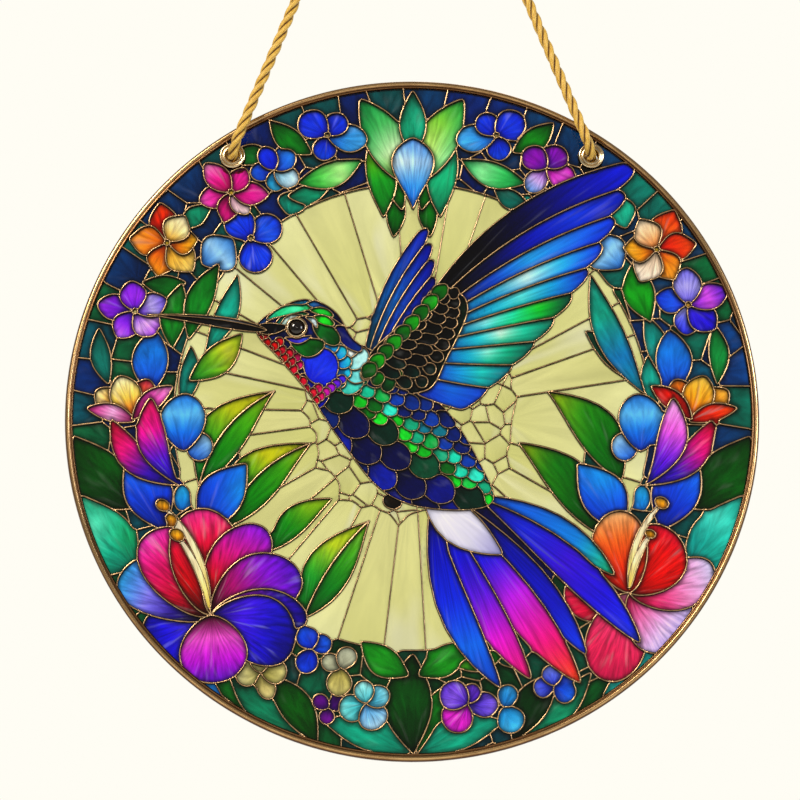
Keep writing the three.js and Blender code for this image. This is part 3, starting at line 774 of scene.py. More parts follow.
# The small flowers round the rim.
flower("glass_pink_flower", (-79.4, 98.9), petals(
    [(132, 18, 11), (60, 13, 10), (-4, 17, 11), (-52, 13, 9), (-100, 14, 10), (196, 15, 11)],
    ["a80850 f020a0 f8a8d8", "d01080 f030b0", "c00878 f020a8 f050b8", "f8c0d8 ffe8e8",
     "b00868 e82098", "c00870 f030b0 e868c0"]), 0.8, 1.0, "f8c020 ffe880", 1.2)
flower("glass_star_flower_left", (-107.2, 76), petals(
    [(58, 15, 13), (6, 14, 13), (-48, 18, 14), (-104, 16, 14), (174, 17, 14), (100, 19, 13)],
    ["f8b028 fce8a8 fff4d0", "e85808 f8a018 fcc838", "f8b028 fce088", "e04808 f88818 f8a828",
     "e86808 f89020 f8a848", "a80c04 e02808 f05010"]), 1.1, 1.0, "f8c020 ffe880", 1.2)
flower("glass_star_flower_right", (107.2, 73), petals(
    [(118, 16, 13), (178, 15, 13), (-118, 17, 14), (-62, 16, 14), (8, 18, 13), (66, 20, 15)],
    ["f08838 fcd0a0 fff0d8", "e86808 f8a820 f8c038", "f8d8b8 fff0e0", "e85808 f89820 f8b040",
     "d01804 f04010 f86018", "d83008 f86818 f84010"]), 1.1, 1.0, "f8c020 ffe880", 1.2)
flower("glass_violet_flower_left", (-120.6, 45), petals(
    [(98, 14, 12), (22, 15, 11), (-50, 14, 12), (-122, 14, 12), (168, 17, 12)],
    ["7010d8 a838f8 9028f0", "6020d0 c8b8ff 7858f0", "9048f0 e8b8ff b050f0", "5010c0 9830f0 c880ff",
     "4808a8 8820e0 a838f0"]), 0.7, 1.1, "f8e080 fff0c0", 1.2)
flower("glass_violet_flower_right", (120.4, 48), petals(
    [(92, 17, 13), (22, 19, 12), (-44, 16, 13), (-96, 14, 12), (166, 15, 12)],
    ["7868f8 b8b0ff 8078f8", "8020e0 e060f8 4818c0", "5040f0 3820e8 2818c8", "d0c8ff 6870f8 2830e0",
     "3850f0 2868f8 1c48e8"]), 0.7, 1.1, "f8a820 ffe080", 1.2)
flower("glass_purple_flower", (59.4, 110), petals(
    [(140, 13, 12), (52, 12, 12), (-30, 14, 12), (-128, 14, 10)],
    ["6008a0 9c10c0 8010b0", "5808a8 8810b8 9818c0", "d010c0 f060e8 e020d0",
     "a050d0 d8b8f8 58a0e8"]), 0.55, 1.2, None, 1.2)
for sign, word in ((1, "left"), (-1, "right")):
    angles = [angle if sign == 1 else 180 - angle for angle in (142, 52, -8, -100)]
    flower(f"glass_blue_flower_{word}", np.array((-37.3 * sign, 125)), petals(
        [(angle, *size) for angle, size in zip(angles, [(15, 14), (12, 11), (18, 13), (12, 11)])],
        ["1020c8 2048f0 1838e8", "0c28d0 1c50f8", "1870e8 40a8f8 58b8f8", "1028c8 1858f0"]),
        0.55, 1.2, "c8a860 f0d898", 1.2)
flower("glass_sky_flower", (-70.4, 78), petals(
    [(128, 15, 14), (32, 15, 14), (-76, 16, 15)],
    ["0c28c8 1848f0 2058f8", "1030d0 2868f8 1848e8", "1030d0 1c50f8 1838d8"]), 0.5, 1.2,
    "c8a860 f0d898", 1.2)
more_flowers = [
    ("glass_wreath_3", (-60.4, 109),
     [(118, 12, 9), (46, 12, 10), (-30, 12, 10), (-84, 10, 9), (188, 11, 9)],
     ["1028d0 1840f0", "1858e8 3898f8", "90d0f0 e0f4ff", "1890d0 40c0e8", "1840d8 2878f8"]),
    ("glass_low_flower_left", (-19.5, -125.5), [(100, 10, 9), (30, 11, 10), (-62, 12, 13), (198, 12, 12)],
     ["58c8d8 b0f0f0", "40b8e0 a0e8f8", "50a8e8 c8e8ff", "30b0c0 90e8e8"]),
    ("glass_low_flower_right", (23.5, -125.5), [(150, 13, 13), (70, 9, 8), (-4, 13, 11), (-128, 14, 14)],
     ["5828c8 9868f8 7848e8", "5020b8 8850e8", "4020b0 9878f8", "a010b8 f030e0 c820c8"]),
    ("glass_wreath_6", (-64, -112.5), [(100, 9, 8), (6, 11, 11), (-70, 12, 8), (188, 11, 10)],
     ["a8a068 e0dca8", "a09850 d8d090", "a89c58 f0e0a0", "a8a060 e8e0a8"]),
    ("glass_wreath_6", (-30.5, -110.5), [(60, 10, 9), (150, 9, 8), (-94, 12, 11)],
     ["a8a890 dce0c8", "a0a088 d0d4b8", "b0a458 f0e498"]),
    ("glass_wreath_6", (-42.5, -102.5), [(112, 10, 10), (28, 9, 9), (-112, 11, 10)],
     ["0c38d0 2068f8", "1048d8 2878f8", "0c30c8 1c58f8"]),
    ("glass_wreath_6", (-35.5, -127.5), [(140, 8, 7), (30, 8, 7), (-100, 7, 7)],
     ["58088a 8c18b0", "48087a 7a10a8", "60108a 9820b8"]),
    ("glass_wreath_7", (38.5, -127), [(70, 10, 9), (-60, 12, 12)], ["1878c8 40b8f8", "1890d8 58c8f8"]),
    ("glass_wreath_7", (60, -118), [(100, 9, 9), (-30, 10, 10), (190, 9, 9)],
     ["3848d8 90a0ff", "1040c8 2878f0", "2838c8 7080f8"]),
]
for node, centre, sizes, tints_of in more_flowers:
    flower(node, centre, petals(sizes, tints_of), 0.5, 1.15, None, 1.2)

# Leaves and the drop at the top, the same on both sides but for their greens.
pane("glass_drop", blade((0.5, 90.5), (0.5, 124), 19, 0, 1.7, 0.75), "1888f8 48a8f8 a8d0f8 3890f0",
     (0.5, 91), (0.5, 124), "1070f0 3898f8 d8f0ff 60a8f8", 1.4)
pane("glass_wreath_2", blade((0.5, 116), (0.5, 146), 12, 0, 0.9), "18b088 28c8a0 0c7860",
     (0.5, 116), (0.5, 146), "0c8868 18a880 085848", 1.3)
for sign, word, one, two, droop in (
        (1, "left", "c8e840 e8fcd0 58c870 189850", "70d068 a8e8a0 28a858 0c7840", "a8d818 20a830 0c7024"),
        (-1, "right", "48b870 a8f0a8 60d070 20a048", "30b058 d8f890 98e050 28a040",
         "18a880 20c890 0c7a58")):
    turn = np.array((sign, 1))
    pane(f"glass_top_leaf_{word}", blade((-5, 104) * turn, (-23, 142) * turn, 18, -0.05 * sign, 0.95, 0.85),
         one, (-5, 104) * turn, (-23, 142) * turn, two, 1.4)
    leaf("glass_drooping_leaves", (-19, 121) * turn, (-12.5, 87) * turn, 13, droop, cut=False,
         bow=0.08 * sign, lead=1.4)
    leaf("glass_drooping_leaves", (-11, 108) * turn, (-4, 90) * turn, 7, "18a028 0c6a1c", cut=False,
         bow=0.05 * sign, lead=1.2)
    leaf("glass_drooping_leaves", (-6, 99) * turn, (-8, 78) * turn, 8.5, "1cb02c 0c7a20 064c14",
         cut=False, lead=1.2)

# Blue petals and leaves beside the trumpets and the hibiscus, then the long leaves.
for sign, word in ((1, "left"), (-1, "right")):
    turn = np.array((sign, 1))
    under = "glass_wreath_5" if sign == 1 else "glass_wreath_8"
    pane(under, blade((-98.5, -17) * turn, (-98, 8.5) * turn, 20, 0.03 * sign, 1.2, 0.55),
         "0c40c0 1c80f0 70c8ff 2888f0", (-98.5, -17) * turn, (-98, 8.5) * turn, lead=1.3)
    pane(under, circle((-91.5, -15) * turn, 5.8, 16, 1.1), "1c68e8 b0e0ff", (-96, -21) * turn,
         (-89, -10) * turn, lead=1.2)
    pane(under, circle((-98.7, -37.4) * turn, 3.7, 16, 1.6), "0c78d8 38c8ff", lead=1.2)
    pane(under, blade((-113, 9) * turn, (-112, 37) * turn, 16, 0.04 * sign, 1, 0.75),
         "0c38b0 1c70e8 1c88e8 1060c0", (-113, 9) * turn, (-112, 37) * turn, lead=1.3)
    leaf(f"glass_blue_leaf_{word}", (-106, -52) * turn, (-123, -19) * turn, 21,
         "081878 1040d8 1c70f8 2888f8", "0a2898 1850e8 2080f8", -0.04 * sign, 1.0, cut=False)
    leaf(f"glass_blue_leaf_{word}", (-90, -53) * turn, (-71, -22) * turn, 20,
         "0c30b0 1868f0 20a0f8 1c98f0", "0828a0 1058e8 1c88f8", 0.06 * sign, 1.0, cut=False)
    light, deep = ("0a6a58 18b078 40d8b0 18a078", "0a5c50 1cb898 68e0c0 20a888") if sign == 1 else (
        "0c8888 20b8a8 40d8c8 18a898", "0a7878 18a8a0 58e0d0 20b0a0")
    leaf(under, (-117, -69) * turn, (-142, -36) * turn, 27, light, deep, 0.1 * sign, 0.9, cut=False)
    leaf(under, (-119, -42) * turn, (-146, -10) * turn, 24, "06300c 0c6a1c 0c4c14",
         "06280c 0a5418 083c10", 0.08 * sign, 0.9, cut=False)
    leaf(under, (-104, -101) * turn, (-80, -123) * turn, 12,
         "1060d8 30b8f8 1c80e0" if sign == 1 else "18a8a8 48e0d8 18a098", cut=False, bow=-0.05 * sign)
long_leaves = [
    ("glass_long_leaf_upper_left", (-91.5, -32), (-59.5, 9.5), 21, 0.12, "0c8c40 30a020 c8d020 e8e028",
     "0c8038 189018 58b818 b0c818"),
    ("glass_long_leaf_middle_left", (-80, -50), (-43.5, -13.5), 22, 0.12,
     "0a6a28 28a020 d8d820 d8e028", "0a5c20 149018 48a818 c8d420"),
    ("glass_long_leaf_lower", (-60, -60), (-34, -37.5), 12, 0.1, "0a7024 189820 88c020 b8d028",
     "0a6420 108818 40a818 a0c820"),
    ("glass_long_leaf_lower", (-46, -89), (-18.5, -47.5), 20, 0.06,
     "0a7028 28a838 c8dc30 b8d828", "0a5c20 148828 50b028 90c828"),
    ("glass_long_leaf_upper_right", (90, -30), (58.5, 9.5), 19, -0.12,
     "0a6a20 189020 70b820 c0c820", "085818 0c7818 30981c a8b820"),
    ("glass_long_leaf_middle_right", (82, -54), (45.5, -13), 19, -0.1,
     "06400c 0c7818 40a018 c8c020", "063810 0a6014 18841c 88a018"),
    ("glass_wreath_8", (94, -48), (72, -33), 10, 0.05, "06300c 0a4c14 0c3c10", None),
]
for node, base, tip, width, bow, colours, other in long_leaves:
    leaf(node, base, tip, width, other or colours, colours, bow, 0.85, cut=width > 19.5)

# More leaves, with the stretch of the wreath that each is in: base, tip, width and colours.
small_leaves = [
    (3, (-51, 103), (-21.5, 114), 12, "0c7c30 60d860 b8f098 30b050"),
    (2, (51, 103), (21.5, 114), 12, "0c7c40 40d070 98f0a8 20a058"),
    (3, (-63, 132), (-43.5, 116), 11, "0a4c18 188c28 0c5c1c"),
    (2, (63, 131), (44, 117), 11, "0a5418 1c9c28 0c641c"),
    (3, (-55, 97), (-36, 101), 9, "0c8868 18b088"),
    (2, (52, 92), (36, 101), 9, "0a6860 128878"),
    (5, (-97, 14), (-73.5, 35.5), 13, "0c8034 68b828 c8d030 a0c028"),
    (4, (-97, 32), (-84, 67), 12, "0c7828 189830 0c6c20"),
    (4, (-90, 26), (-76, 62), 10, "0c9080 18b8a0 109080"),
    (4, (-104, 28), (-100, 58), 12, "0a6c28 20a030 0c7820"),
    (5, (-100, 2), (-96, 30), 9, "0c8878 189c90 0c7868"),
    (1, (101, 8), (78, 62), 13, "0c98a8 1888c8 18b098 109080"),
    (8, (99, 12), (75, 36.5), 12, "0a5848 0c8060 0c6c54"),
    (1, (104, 40), (97, 68), 14, "0c8420 20b028 0c7820"),
    (1, (108, 16), (101, 44), 10, "0c8890 18a8a0 0c8880"),
    (8, (106, 2), (104, 28), 9, "109888 20b8a8 0c8878"),
    (1, (132, 12), (131, 40), 9, "0c7838 18a050 0c6830"),
    (4, (-131, 12), (-136, 38), 9, "0c7068 188c80 0a6058"),
    (4, (-118, 58), (-98, 58), 9, "0a5820 188c30"),
    (6, (-1, -114), (-22, -99), 13, "0c6418 28a82c 188820"),
    (7, (2, -114), (23, -99), 13, "0c6418 28a82c 188820"),
    (6, (-24, -108), (-38, -106), 8, "0c8828 a0d040"),
    (7, (18, -110), (40, -103), 8, "70c030 18881c 0c7018"),
    (7, (0.5, -147), (0.5, -104), 21, "06280c 0c5c1c 083810"),
    (6, (-1, -147), (-14, -117), 9, "0a7058 18a880"),
    (7, (2, -147), (15, -117), 9, "0c6c20 20a030"),
    (6, (0, -147), (-38, -133), 15, "0a7864 18b898 109078"),
    (7, (1, -147), (39, -133), 15, "0a7864 18b898 109078"),
    (6, (-40, -143), (-62, -113), 14, "06400c 0c6818 064010"),
    (6, (-46, -139), (-78, -112), 12, "0a6c50 14906c 0a5c44"),
    (6, (-55, -137), (-92, -112), 10, "0c4c18 18802c 0a5820"),
    (7, (42, -142), (62, -112), 15, "04240c 084018 042810"),
    (7, (46, -139), (76, -112), 12, "0a7c60 18a078 0a6048"),
    (7, (58, -136), (96, -111), 9, "063c1c 0c6830 063018"),
    (3, (-78, 118), (-62, 116), 10, "0a5c24 168c38"),
    (3, (-92, 84), (-98, 92), 18, "0c7c60 18b088"),
    (4, (-92, 66), (-78, 78), 19, "2068c0 a8d8ff 3080d8"),
    (1, (92, 64), (80, 80), 19, "2068c8 a0d8ff 3078d8"),
    (1, (94, 82), (88, 98), 13, "18a890 30d8b0"),
    (3, (-54, 88), (-50, 100), 13, "0c8878 20b898"),
    (2, (44, 88), (52, 98), 11, "0c9c94 28c8b0"),
    (4, (-112, 60), (-104, 52), 9, "0a6c20 189028"),
    (5, (-84, -48), (-85, 4), 15, "0a4c48 0c6c60 0a5450"),
    (8, (84, -48), (85, 4), 15, "0a4c48 0c6c60 0a5450"),
    (8, (54, -68), (76, -86), 14, "0a4c30 0c6c40"),
]
for number, (stretch, base, tip, width, colours) in enumerate(small_leaves):
    leaf(f"glass_wreath_{stretch}", base, tip, width, colours, None, 0.06 if number % 2 else -0.06, 1.0, cut=False, lead=1.3)


# ------------------------------------------------------------------ ground and backing glass
# Clear, faintly olive glass fills the middle: long wedges outside, pebbles round the bird.
# Deep blues and greens lie behind the wreath.
GROUND_RADIUS = 103
PEBBLE_RADIUS = 52
PEBBLE_REACH = 60
PEBBLE_WIDTH = 9.4
PEBBLE_HEIGHT = 8.2
PEBBLE_SHIFT = 3.3
SPOKE_GAPS = (8.6, 13.4)
SPOKE_ENDS = (42, 50)
SHEET_EDGE = 148.0
clips.append(circle((0, 0), SHEET_EDGE, 180))
WHOLE = 1
clips.append(circle((0, 0), PEBBLE_RADIUS, 60))
PEBBLES = 2


def cells(seeds, reach):
    """Voronoi cells: a square round each seed, cut by the line half way to each near seed."""
    seeds = np.array(seeds, float)
    rings = []
    for seed in seeds:
        gaps = np.hypot(*(seeds - seed).T)
        ring = seed + np.array([(-1, -1), (1, -1), (1, 1), (-1, 1)]) * reach
        for other in seeds[np.argsort(gaps)[1:15]]:
            away, middle = other - seed, (other + seed) / 2
            depth = (ring - middle) @ away
            kept = []
            for i in range(len(ring)):
                j = (i + 1) % len(ring)
                if depth[i] <= 0:
                    kept.append(ring[i])
                if depth[i] * depth[j] < 0:
                    kept.append(ring[i] + (ring[j] - ring[i]) * depth[i] / (depth[i] - depth[j]))
            ring = np.array(kept)
        rings.append(ring)
    return rings


def ground_node(point):
    """The name of the ground's part that a point lies in, by its angle round the bird."""
    angle = math.degrees(math.atan2(point[1] - 33, point[0] + 30))
    angle = angle if angle > -55 else angle + 360
    return "glass_ground_%d" % (1 + sum(angle > limit for limit in (31, 54, 173)))


ground_tints = ["e2e09e ecebb4", "dcdb92 e8e6a8", "e6e3a6 dedc9a", "d8d790 e4e2a2"]
spokes = np.cumsum(random.uniform(*SPOKE_GAPS, 40))
spokes = spokes[spokes < 352]
inner = random.uniform(*SPOKE_ENDS, len(spokes))
following = np.append(spokes[1:], spokes[0] + 360)
for first, last, near, far in zip(spokes, following, inner, np.roll(inner, -1)):
    middle = (first + last) / 2
    ring = np.vstack([polar(GROUND_RADIUS, np.linspace(first, last, 5)), polar(far, last),
                      polar((near + far) / 2 - 2, middle), polar(near, first)])
    pane(ground_node(polar(76, middle)), ring, ground_tints[int(random.integers(4))],
         polar(40, middle), polar(100, middle), lead=0.95)
grid = [(PEBBLE_WIDTH * (i + 0.5 * (j % 2)), PEBBLE_HEIGHT * j)
        for i in range(-7, 8) for j in range(-7, 8)]
seeds = [np.array(place) + random.uniform(-PEBBLE_SHIFT, PEBBLE_SHIFT, 2) for place in grid
         if np.hypot(*place) < PEBBLE_REACH]
for ring in cells(seeds, 30):
    pane(ground_node(ring.mean(axis=0)), ring, ground_tints[int(random.integers(4))], lead=0.85,
         clip=PEBBLES)

# The backing, by the angle that each stretch of the wreath reaches to.
backing = [
    (20, 8, ["0c4c70 12708c", "0c3c78 1058a0", "0a5c50 10806c"]),
    (50, 1, ["0c6c64 109080", "0a3c60 0c5888", "0a5838 0c7848"]),
    (90, 2, ["0a2468 0c3c90", "0a3460 0c5080", "0a4c58 0c6c70"]),
    (130, 3, ["0a2060 0c3484", "081c50 0c3078", "0a4850 0c6464"]),
    (160, 4, ["0a2c5c 0c4880", "0a5448 0c7058", "0c6c64 108880"]),
    (225, 5, ["0a4c5c 0c6c7c", "0a2c68 0c4490", "0c5c3c 107c50"]),
    (270, 6, ["0a5c44 0c7c5c", "0a4c28 0c6838", "0a4440 0c5c58"]),
    (315, 7, ["0a5040 0c7458", "0a4424 0c6034", "0a3c48 0c5460"]),
    (361, 8, ["0c5c60 108080", "0a4c50 0c6c68", "0c3c70 105890"]),
]
seeds = []
for radius, count in ((96, 42), (110, 46), (124, 50), (139, 54), (160, 54)):
    turns = (np.arange(count) + random.uniform(-0.25, 0.25, count) + 0.5 * (radius == 110)) * 360 / count
    seeds += list(polar(radius + random.uniform(-2.5, 2.5, count), turns))
for ring in cells(seeds, 24):
    middle = ring.mean(axis=0)
    angle = math.degrees(math.atan2(middle[1], middle[0])) % 360
    stretch, choice = next((each, choice) for limit, each, choice in backing if angle < limit)
    outward = middle / np.hypot(*middle) * 8
    pane(f"glass_wreath_{stretch}", ring, choice[int(random.integers(len(choice)))], middle - outward, middle + outward,
         lead=1.3, clip=WHOLE)


# ------------------------------------------------------------------ cutting the glass
# All outlines are laid over one another with a fine grid of points, and the sheet is parted
# into triangles along them. Each triangle goes to the pane furthest to the front.
GRID = 2.1
EYELET_HOLE = 4.4
GLASS_HALF = 1.5 * MM
SMALLEST = 5.0
SMALLEST_SCALE = 1.6
FINE_LEAD = 0.9
MARK_STEP = 0.8
GRID_REACH = 147.4


def dense(ring):
    """A closed outline with points added, so that no side is longer than the grid is wide."""
    after = np.roll(ring, -1, axis=0)
    counts = np.ceil(np.hypot(*(after - ring).T) / GRID).astype(int)
    return np.vstack([a + (b - a) * (np.arange(count) / count)[:, None]
                      for a, b, count in zip(ring, after, np.maximum(counts, 1))])


def cut_sheet():
    """The sheet's points, its triangles and the pane that each of them belongs to, or -1."""
    rings = [each["ring"] for each in panes] + clips
    for sign in (-1, 1):
        rings.append(circle((sign * EYELET_X / MM, EYELET_UP / MM), EYELET_HOLE, 24))
    points, outlines = [], []
    for ring in rings:
        area = np.sum(ring[:, 0] * np.roll(ring[:, 1], -1) - np.roll(ring[:, 0], -1) * ring[:, 1])
        ring = dense(ring if area > 0 else ring[::-1])
        outlines.append(list(range(len(points), len(points) + len(ring))))
        points += ring.tolist()
    for number, y in enumerate(np.arange(-148, 149, GRID * math.sqrt(3) / 2)):
        x = np.arange(-148, 149, GRID) + (number % 2) * GRID / 2
        x = x[np.hypot(x, y) < GRID_REACH]
        points += np.column_stack([x, np.full(len(x), y)]).tolist()
    verts, _, faces, _, _, origins = delaunay_2d_cdt(
        [Vector(point) for point in points], [], outlines, 1, 1e-3)
    first_clip = len(panes)
    holes = {len(rings) - 2, len(rings) - 1}
    owners = []
    for origin in origins:
        inside = set(origin)
        found = -1
        if first_clip + WHOLE in inside and not inside & holes:
            for number in sorted(each for each in inside if each < first_clip):
                clip = panes[number]["clip"]
                if clip is None or first_clip + clip in inside:
                    found = number
                    break
        owners.append(found)
    return np.array([tuple(v) for v in verts]), np.array(faces), np.array(owners)


def sides_of(corners, count):
    """Every side of every triangle: its two corners, its triangle and the one beyond it, or -1."""
    first, second = corners.ravel(), np.roll(corners, -1, axis=1).ravel()
    inner = np.repeat(np.arange(len(corners)), 3)
    key, back = first * count + second, second * count + first
    order = np.argsort(key)
    place = np.clip(np.searchsorted(key[order], back), 0, len(key) - 1)
    beyond = np.where(key[order][place] == back, inner[order][place], -1)
    return first, second, inner, beyond


sheet, triangles, labels = cut_sheet()
starts, ends, owner, other = sides_of(triangles, len(sheet))
corner = sheet[triangles]
areas = 0.5 * np.abs(np.cross(corner[:, 1] - corner[:, 0], corner[:, 2] - corner[:, 0]))
paired = other >= 0
opposite = np.where(paired, other, 0)
edge_length = np.linalg.norm(sheet[starts] - sheet[ends], axis=1)
leads = np.array([each["lead"] for each in panes])

# Scraps too small to be cut from glass join the neighbour with the longest shared edge.
for _ in range(3):
    part = np.arange(len(triangles))
    same = paired & (labels[owner] == labels[opposite])
    while True:
        lower = part.copy()
        np.minimum.at(lower, owner[same], part[opposite[same]])
        lower = lower[lower]
        if np.array_equal(lower, part):
            break
        part = lower
    size = np.bincount(part, weights=areas, minlength=len(part))
    limit = np.where((labels >= 0) & (leads[labels] < FINE_LEAD), SMALLEST_SCALE, SMALLEST)
    scrap = (size[part] < limit) & (labels >= 0)
    touch = paired & scrap[owner] & (part[owner] != part[opposite]) & (labels[opposite] >= 0)
    votes = {}
    for a, b, length in zip(part[owner[touch]], labels[opposite[touch]], edge_length[touch]):
        own_votes = votes.setdefault(int(a), {})
        own_votes[int(b)] = own_votes.get(int(b), 0.0) + length
    joined = {a: max(each, key=each.get) for a, each in votes.items()}
    labels = np.array([joined.get(int(p), label) if s else label
                       for p, label, s in zip(part, labels, scrap)])

# The lead lines: edges between two panes, and how far each point of the sheet lies from one.
border = paired & (labels[owner] >= 0) & (labels[owner] < labels[opposite])
outer_edge = (labels[owner] >= 0) & (~paired | (labels[opposite] < 0))
marks = []
for index in np.flatnonzero(border | outer_edge):
    a, b = sheet[starts[index]], sheet[ends[index]]
    count = max(int(edge_length[index] / MARK_STEP), 1)
    marks += [a + (b - a) * k / count for k in range(count)]
tree = KDTree(len(marks))
for index, mark in enumerate(marks):
    tree.insert((mark[0], mark[1], 0), index)
tree.balance()
from_lead = np.array([tree.find((x, y, 0))[2] for x, y in sheet])


# ------------------------------------------------------------------ the glass
# Hand-rolled cathedral glass, 3 mm thick, streaked along the grain of each petal or feather.
def streaky_glass(name, grain, width, contrast, haze, ripple, edge, wisp=0.0):
    """Coloured glass: its own tint, streaks of grain by width mm, painted shade that darkens it
    towards the lead, and milky wisps where the sheet was mixed thin. Light comes through it."""
    m = new_material(name)
    tint = add(m, "ShaderNodeAttribute", {"attribute_name": "tint"}).outputs["Color"]
    distance = add(m, "ShaderNodeAttribute", {"attribute_name": "from_lead"}).outputs["Fac"]
    uv = add(m, "ShaderNodeUVMap", {"uv_map": "lay"}).outputs[0]
    long = add(m, "ShaderNodeMapping", None, {"Vector": uv, "Scale": (1 / grain, 1 / width, 1.0)})
    streak = add(m, "ShaderNodeTexNoise", None, {
        "Vector": long.outputs[0], "Scale": 1.0, "Detail": 3.0, "Roughness": 0.55, "Distortion": 0.4,
    }).outputs[0]
    cloudy = add(m, "ShaderNodeMapping", None, {
        "Vector": uv, "Location": (31.0, 17.0, 0.0), "Scale": (0.6 / grain, 0.45 / width, 1.0),
    })
    cloud = add(m, "ShaderNodeTexNoise", None, {
        "Vector": cloudy.outputs[0], "Scale": 1.0, "Detail": 2.0, "Roughness": 0.5,
    }).outputs[0]
    strength = ranged(m, streak, 0.3, 0.7, 1 - contrast, 1 + contrast, False)
    toned = add(m, "ShaderNodeVectorMath", {"operation": "SCALE"}, {0: tint, "Scale": strength})
    milky = ranged(m, cloud, 0.56, 0.76, 0.0, wisp)
    pale = blend_colours(m, milky, toned.outputs[0], (1.0, 1.0, 1.0, 1.0))
    # Painted shade: darker towards the lead, down to edge[1] of the colour right at it.
    shade = ranged(m, distance, 0.3, edge[0], edge[1], 1.0)
    lead_shaded = add(m, "ShaderNodeVectorMath", {"operation": "SCALE"}, {0: pale, "Scale": shade})
    place = add(m, "ShaderNodeTexCoord").outputs["Object"]
    wave = add(m, "ShaderNodeTexNoise", None, {
        "Vector": place, "Scale": 140.0, "Detail": 2.0, "Roughness": 0.5,
    }).outputs[0]
    bump = add(m, "ShaderNodeBump", None, {"Strength": ripple, "Distance": 0.0006, "Height": wave})
    return finish_material(m, add(m, "ShaderNodeBsdfPrincipled", None, {
        "Base Color": lead_shaded.outputs[0], "Roughness": haze, "IOR": 1.52,
        "Transmission Weight": 1.0, "Normal": bump.outputs[0],
    }))


# Each edge pair: how far from the lead, in mm, the painted shade reaches, and how dark it is there.
looks = {
    "feather": streaky_glass("streaky_feather_glass", 26, 1.2, 0.34, 0.05, 0.25, (2.2, 0.2), 0.05),
    "petal": streaky_glass("streaky_petal_glass", 12, 1.3, 0.5, 0.05, 0.3, (2.5, 0.22), 0.12),
    "leaf": streaky_glass("streaky_leaf_glass", 14, 1.8, 0.3, 0.05, 0.3, (2.4, 0.2), 0.05),
    "scale": streaky_glass("fired_scale_glass", 6, 2.0, 0.25, 0.05, 0.2, (1.1, 0.25), 0.04),
    "backing": streaky_glass("deep_cathedral_glass", 11, 3.2, 0.4, 0.05, 0.35, (2.6, 0.26), 0.03),
    "ground": streaky_glass("clear_olive_glass", 40, 9.0, 0.12, 0.02, 0.6, (1.2, 0.8), 0.3),
    "opal": streaky_glass("wispy_opal_glass", 24, 1.5, 0.14, 0.3, 0.2, (2.2, 0.5), 0.5),
}
groups = [
    ("glass_wreath", "backing", "glass_teal"), ("glass_ground", "ground", "glass_ground"),
    ("glass_wing_coverts", "scale", "glass_dark"), ("glass_wing", "feather", "glass_blue"),
    ("glass_far", "feather", "glass_blue"), ("glass_tail", "feather", "glass_blue"),
    ("glass_beak", "scale", "glass_dark"), ("glass_throat", "scale", "glass_red"),
    ("glass_gorget", "scale", "glass_violet"), ("glass_head", "scale", "glass_green"),
    ("glass_back", "scale", "glass_green"), ("glass_belly", "scale", "glass_dark"),
    ("glass_undertail", "opal", "glass_white"), ("glass_hibiscus", "petal", "glass_violet"),
    ("glass_trumpet", "petal", "glass_red"), ("glass_star", "petal", "glass_orange"),
    ("glass_pink", "petal", "glass_red"), ("glass_violet", "petal", "glass_violet"),
    ("glass_purple", "petal", "glass_violet"), ("glass_low", "petal", "glass_violet"),
    ("glass_drop", "petal", "glass_blue"), ("glass_sky", "petal", "glass_blue"),
    ("glass_blue_flower", "petal", "glass_blue"), ("glass_blue_leaf", "leaf", "glass_blue"),
    ("glass_", "leaf", "glass_green"),
]


DEPTH = 1.22


def tints(colours, t):
    """Colours between evenly spaced hex stops, mixed as they are seen and then made linear. They
    are raised to a depth, as light loses the same share of each colour in each layer of glass."""
    stops = np.array([[int(code[i:i + 2], 16) / 255 for i in (0, 2, 4)] for code in colours])
    at = np.clip(t, 0, 1) * (len(stops) - 1)
    mixed = np.column_stack([np.interp(at, np.arange(len(stops)), stops[:, k]) for k in range(3)])
    return np.where(mixed < 0.04045, mixed / 12.92, ((mixed + 0.055) / 1.055) ** 2.4) ** DEPTH


SIDE_BLEND = 0.9
LAY_SHIFT = np.array((23.7, 11.3))


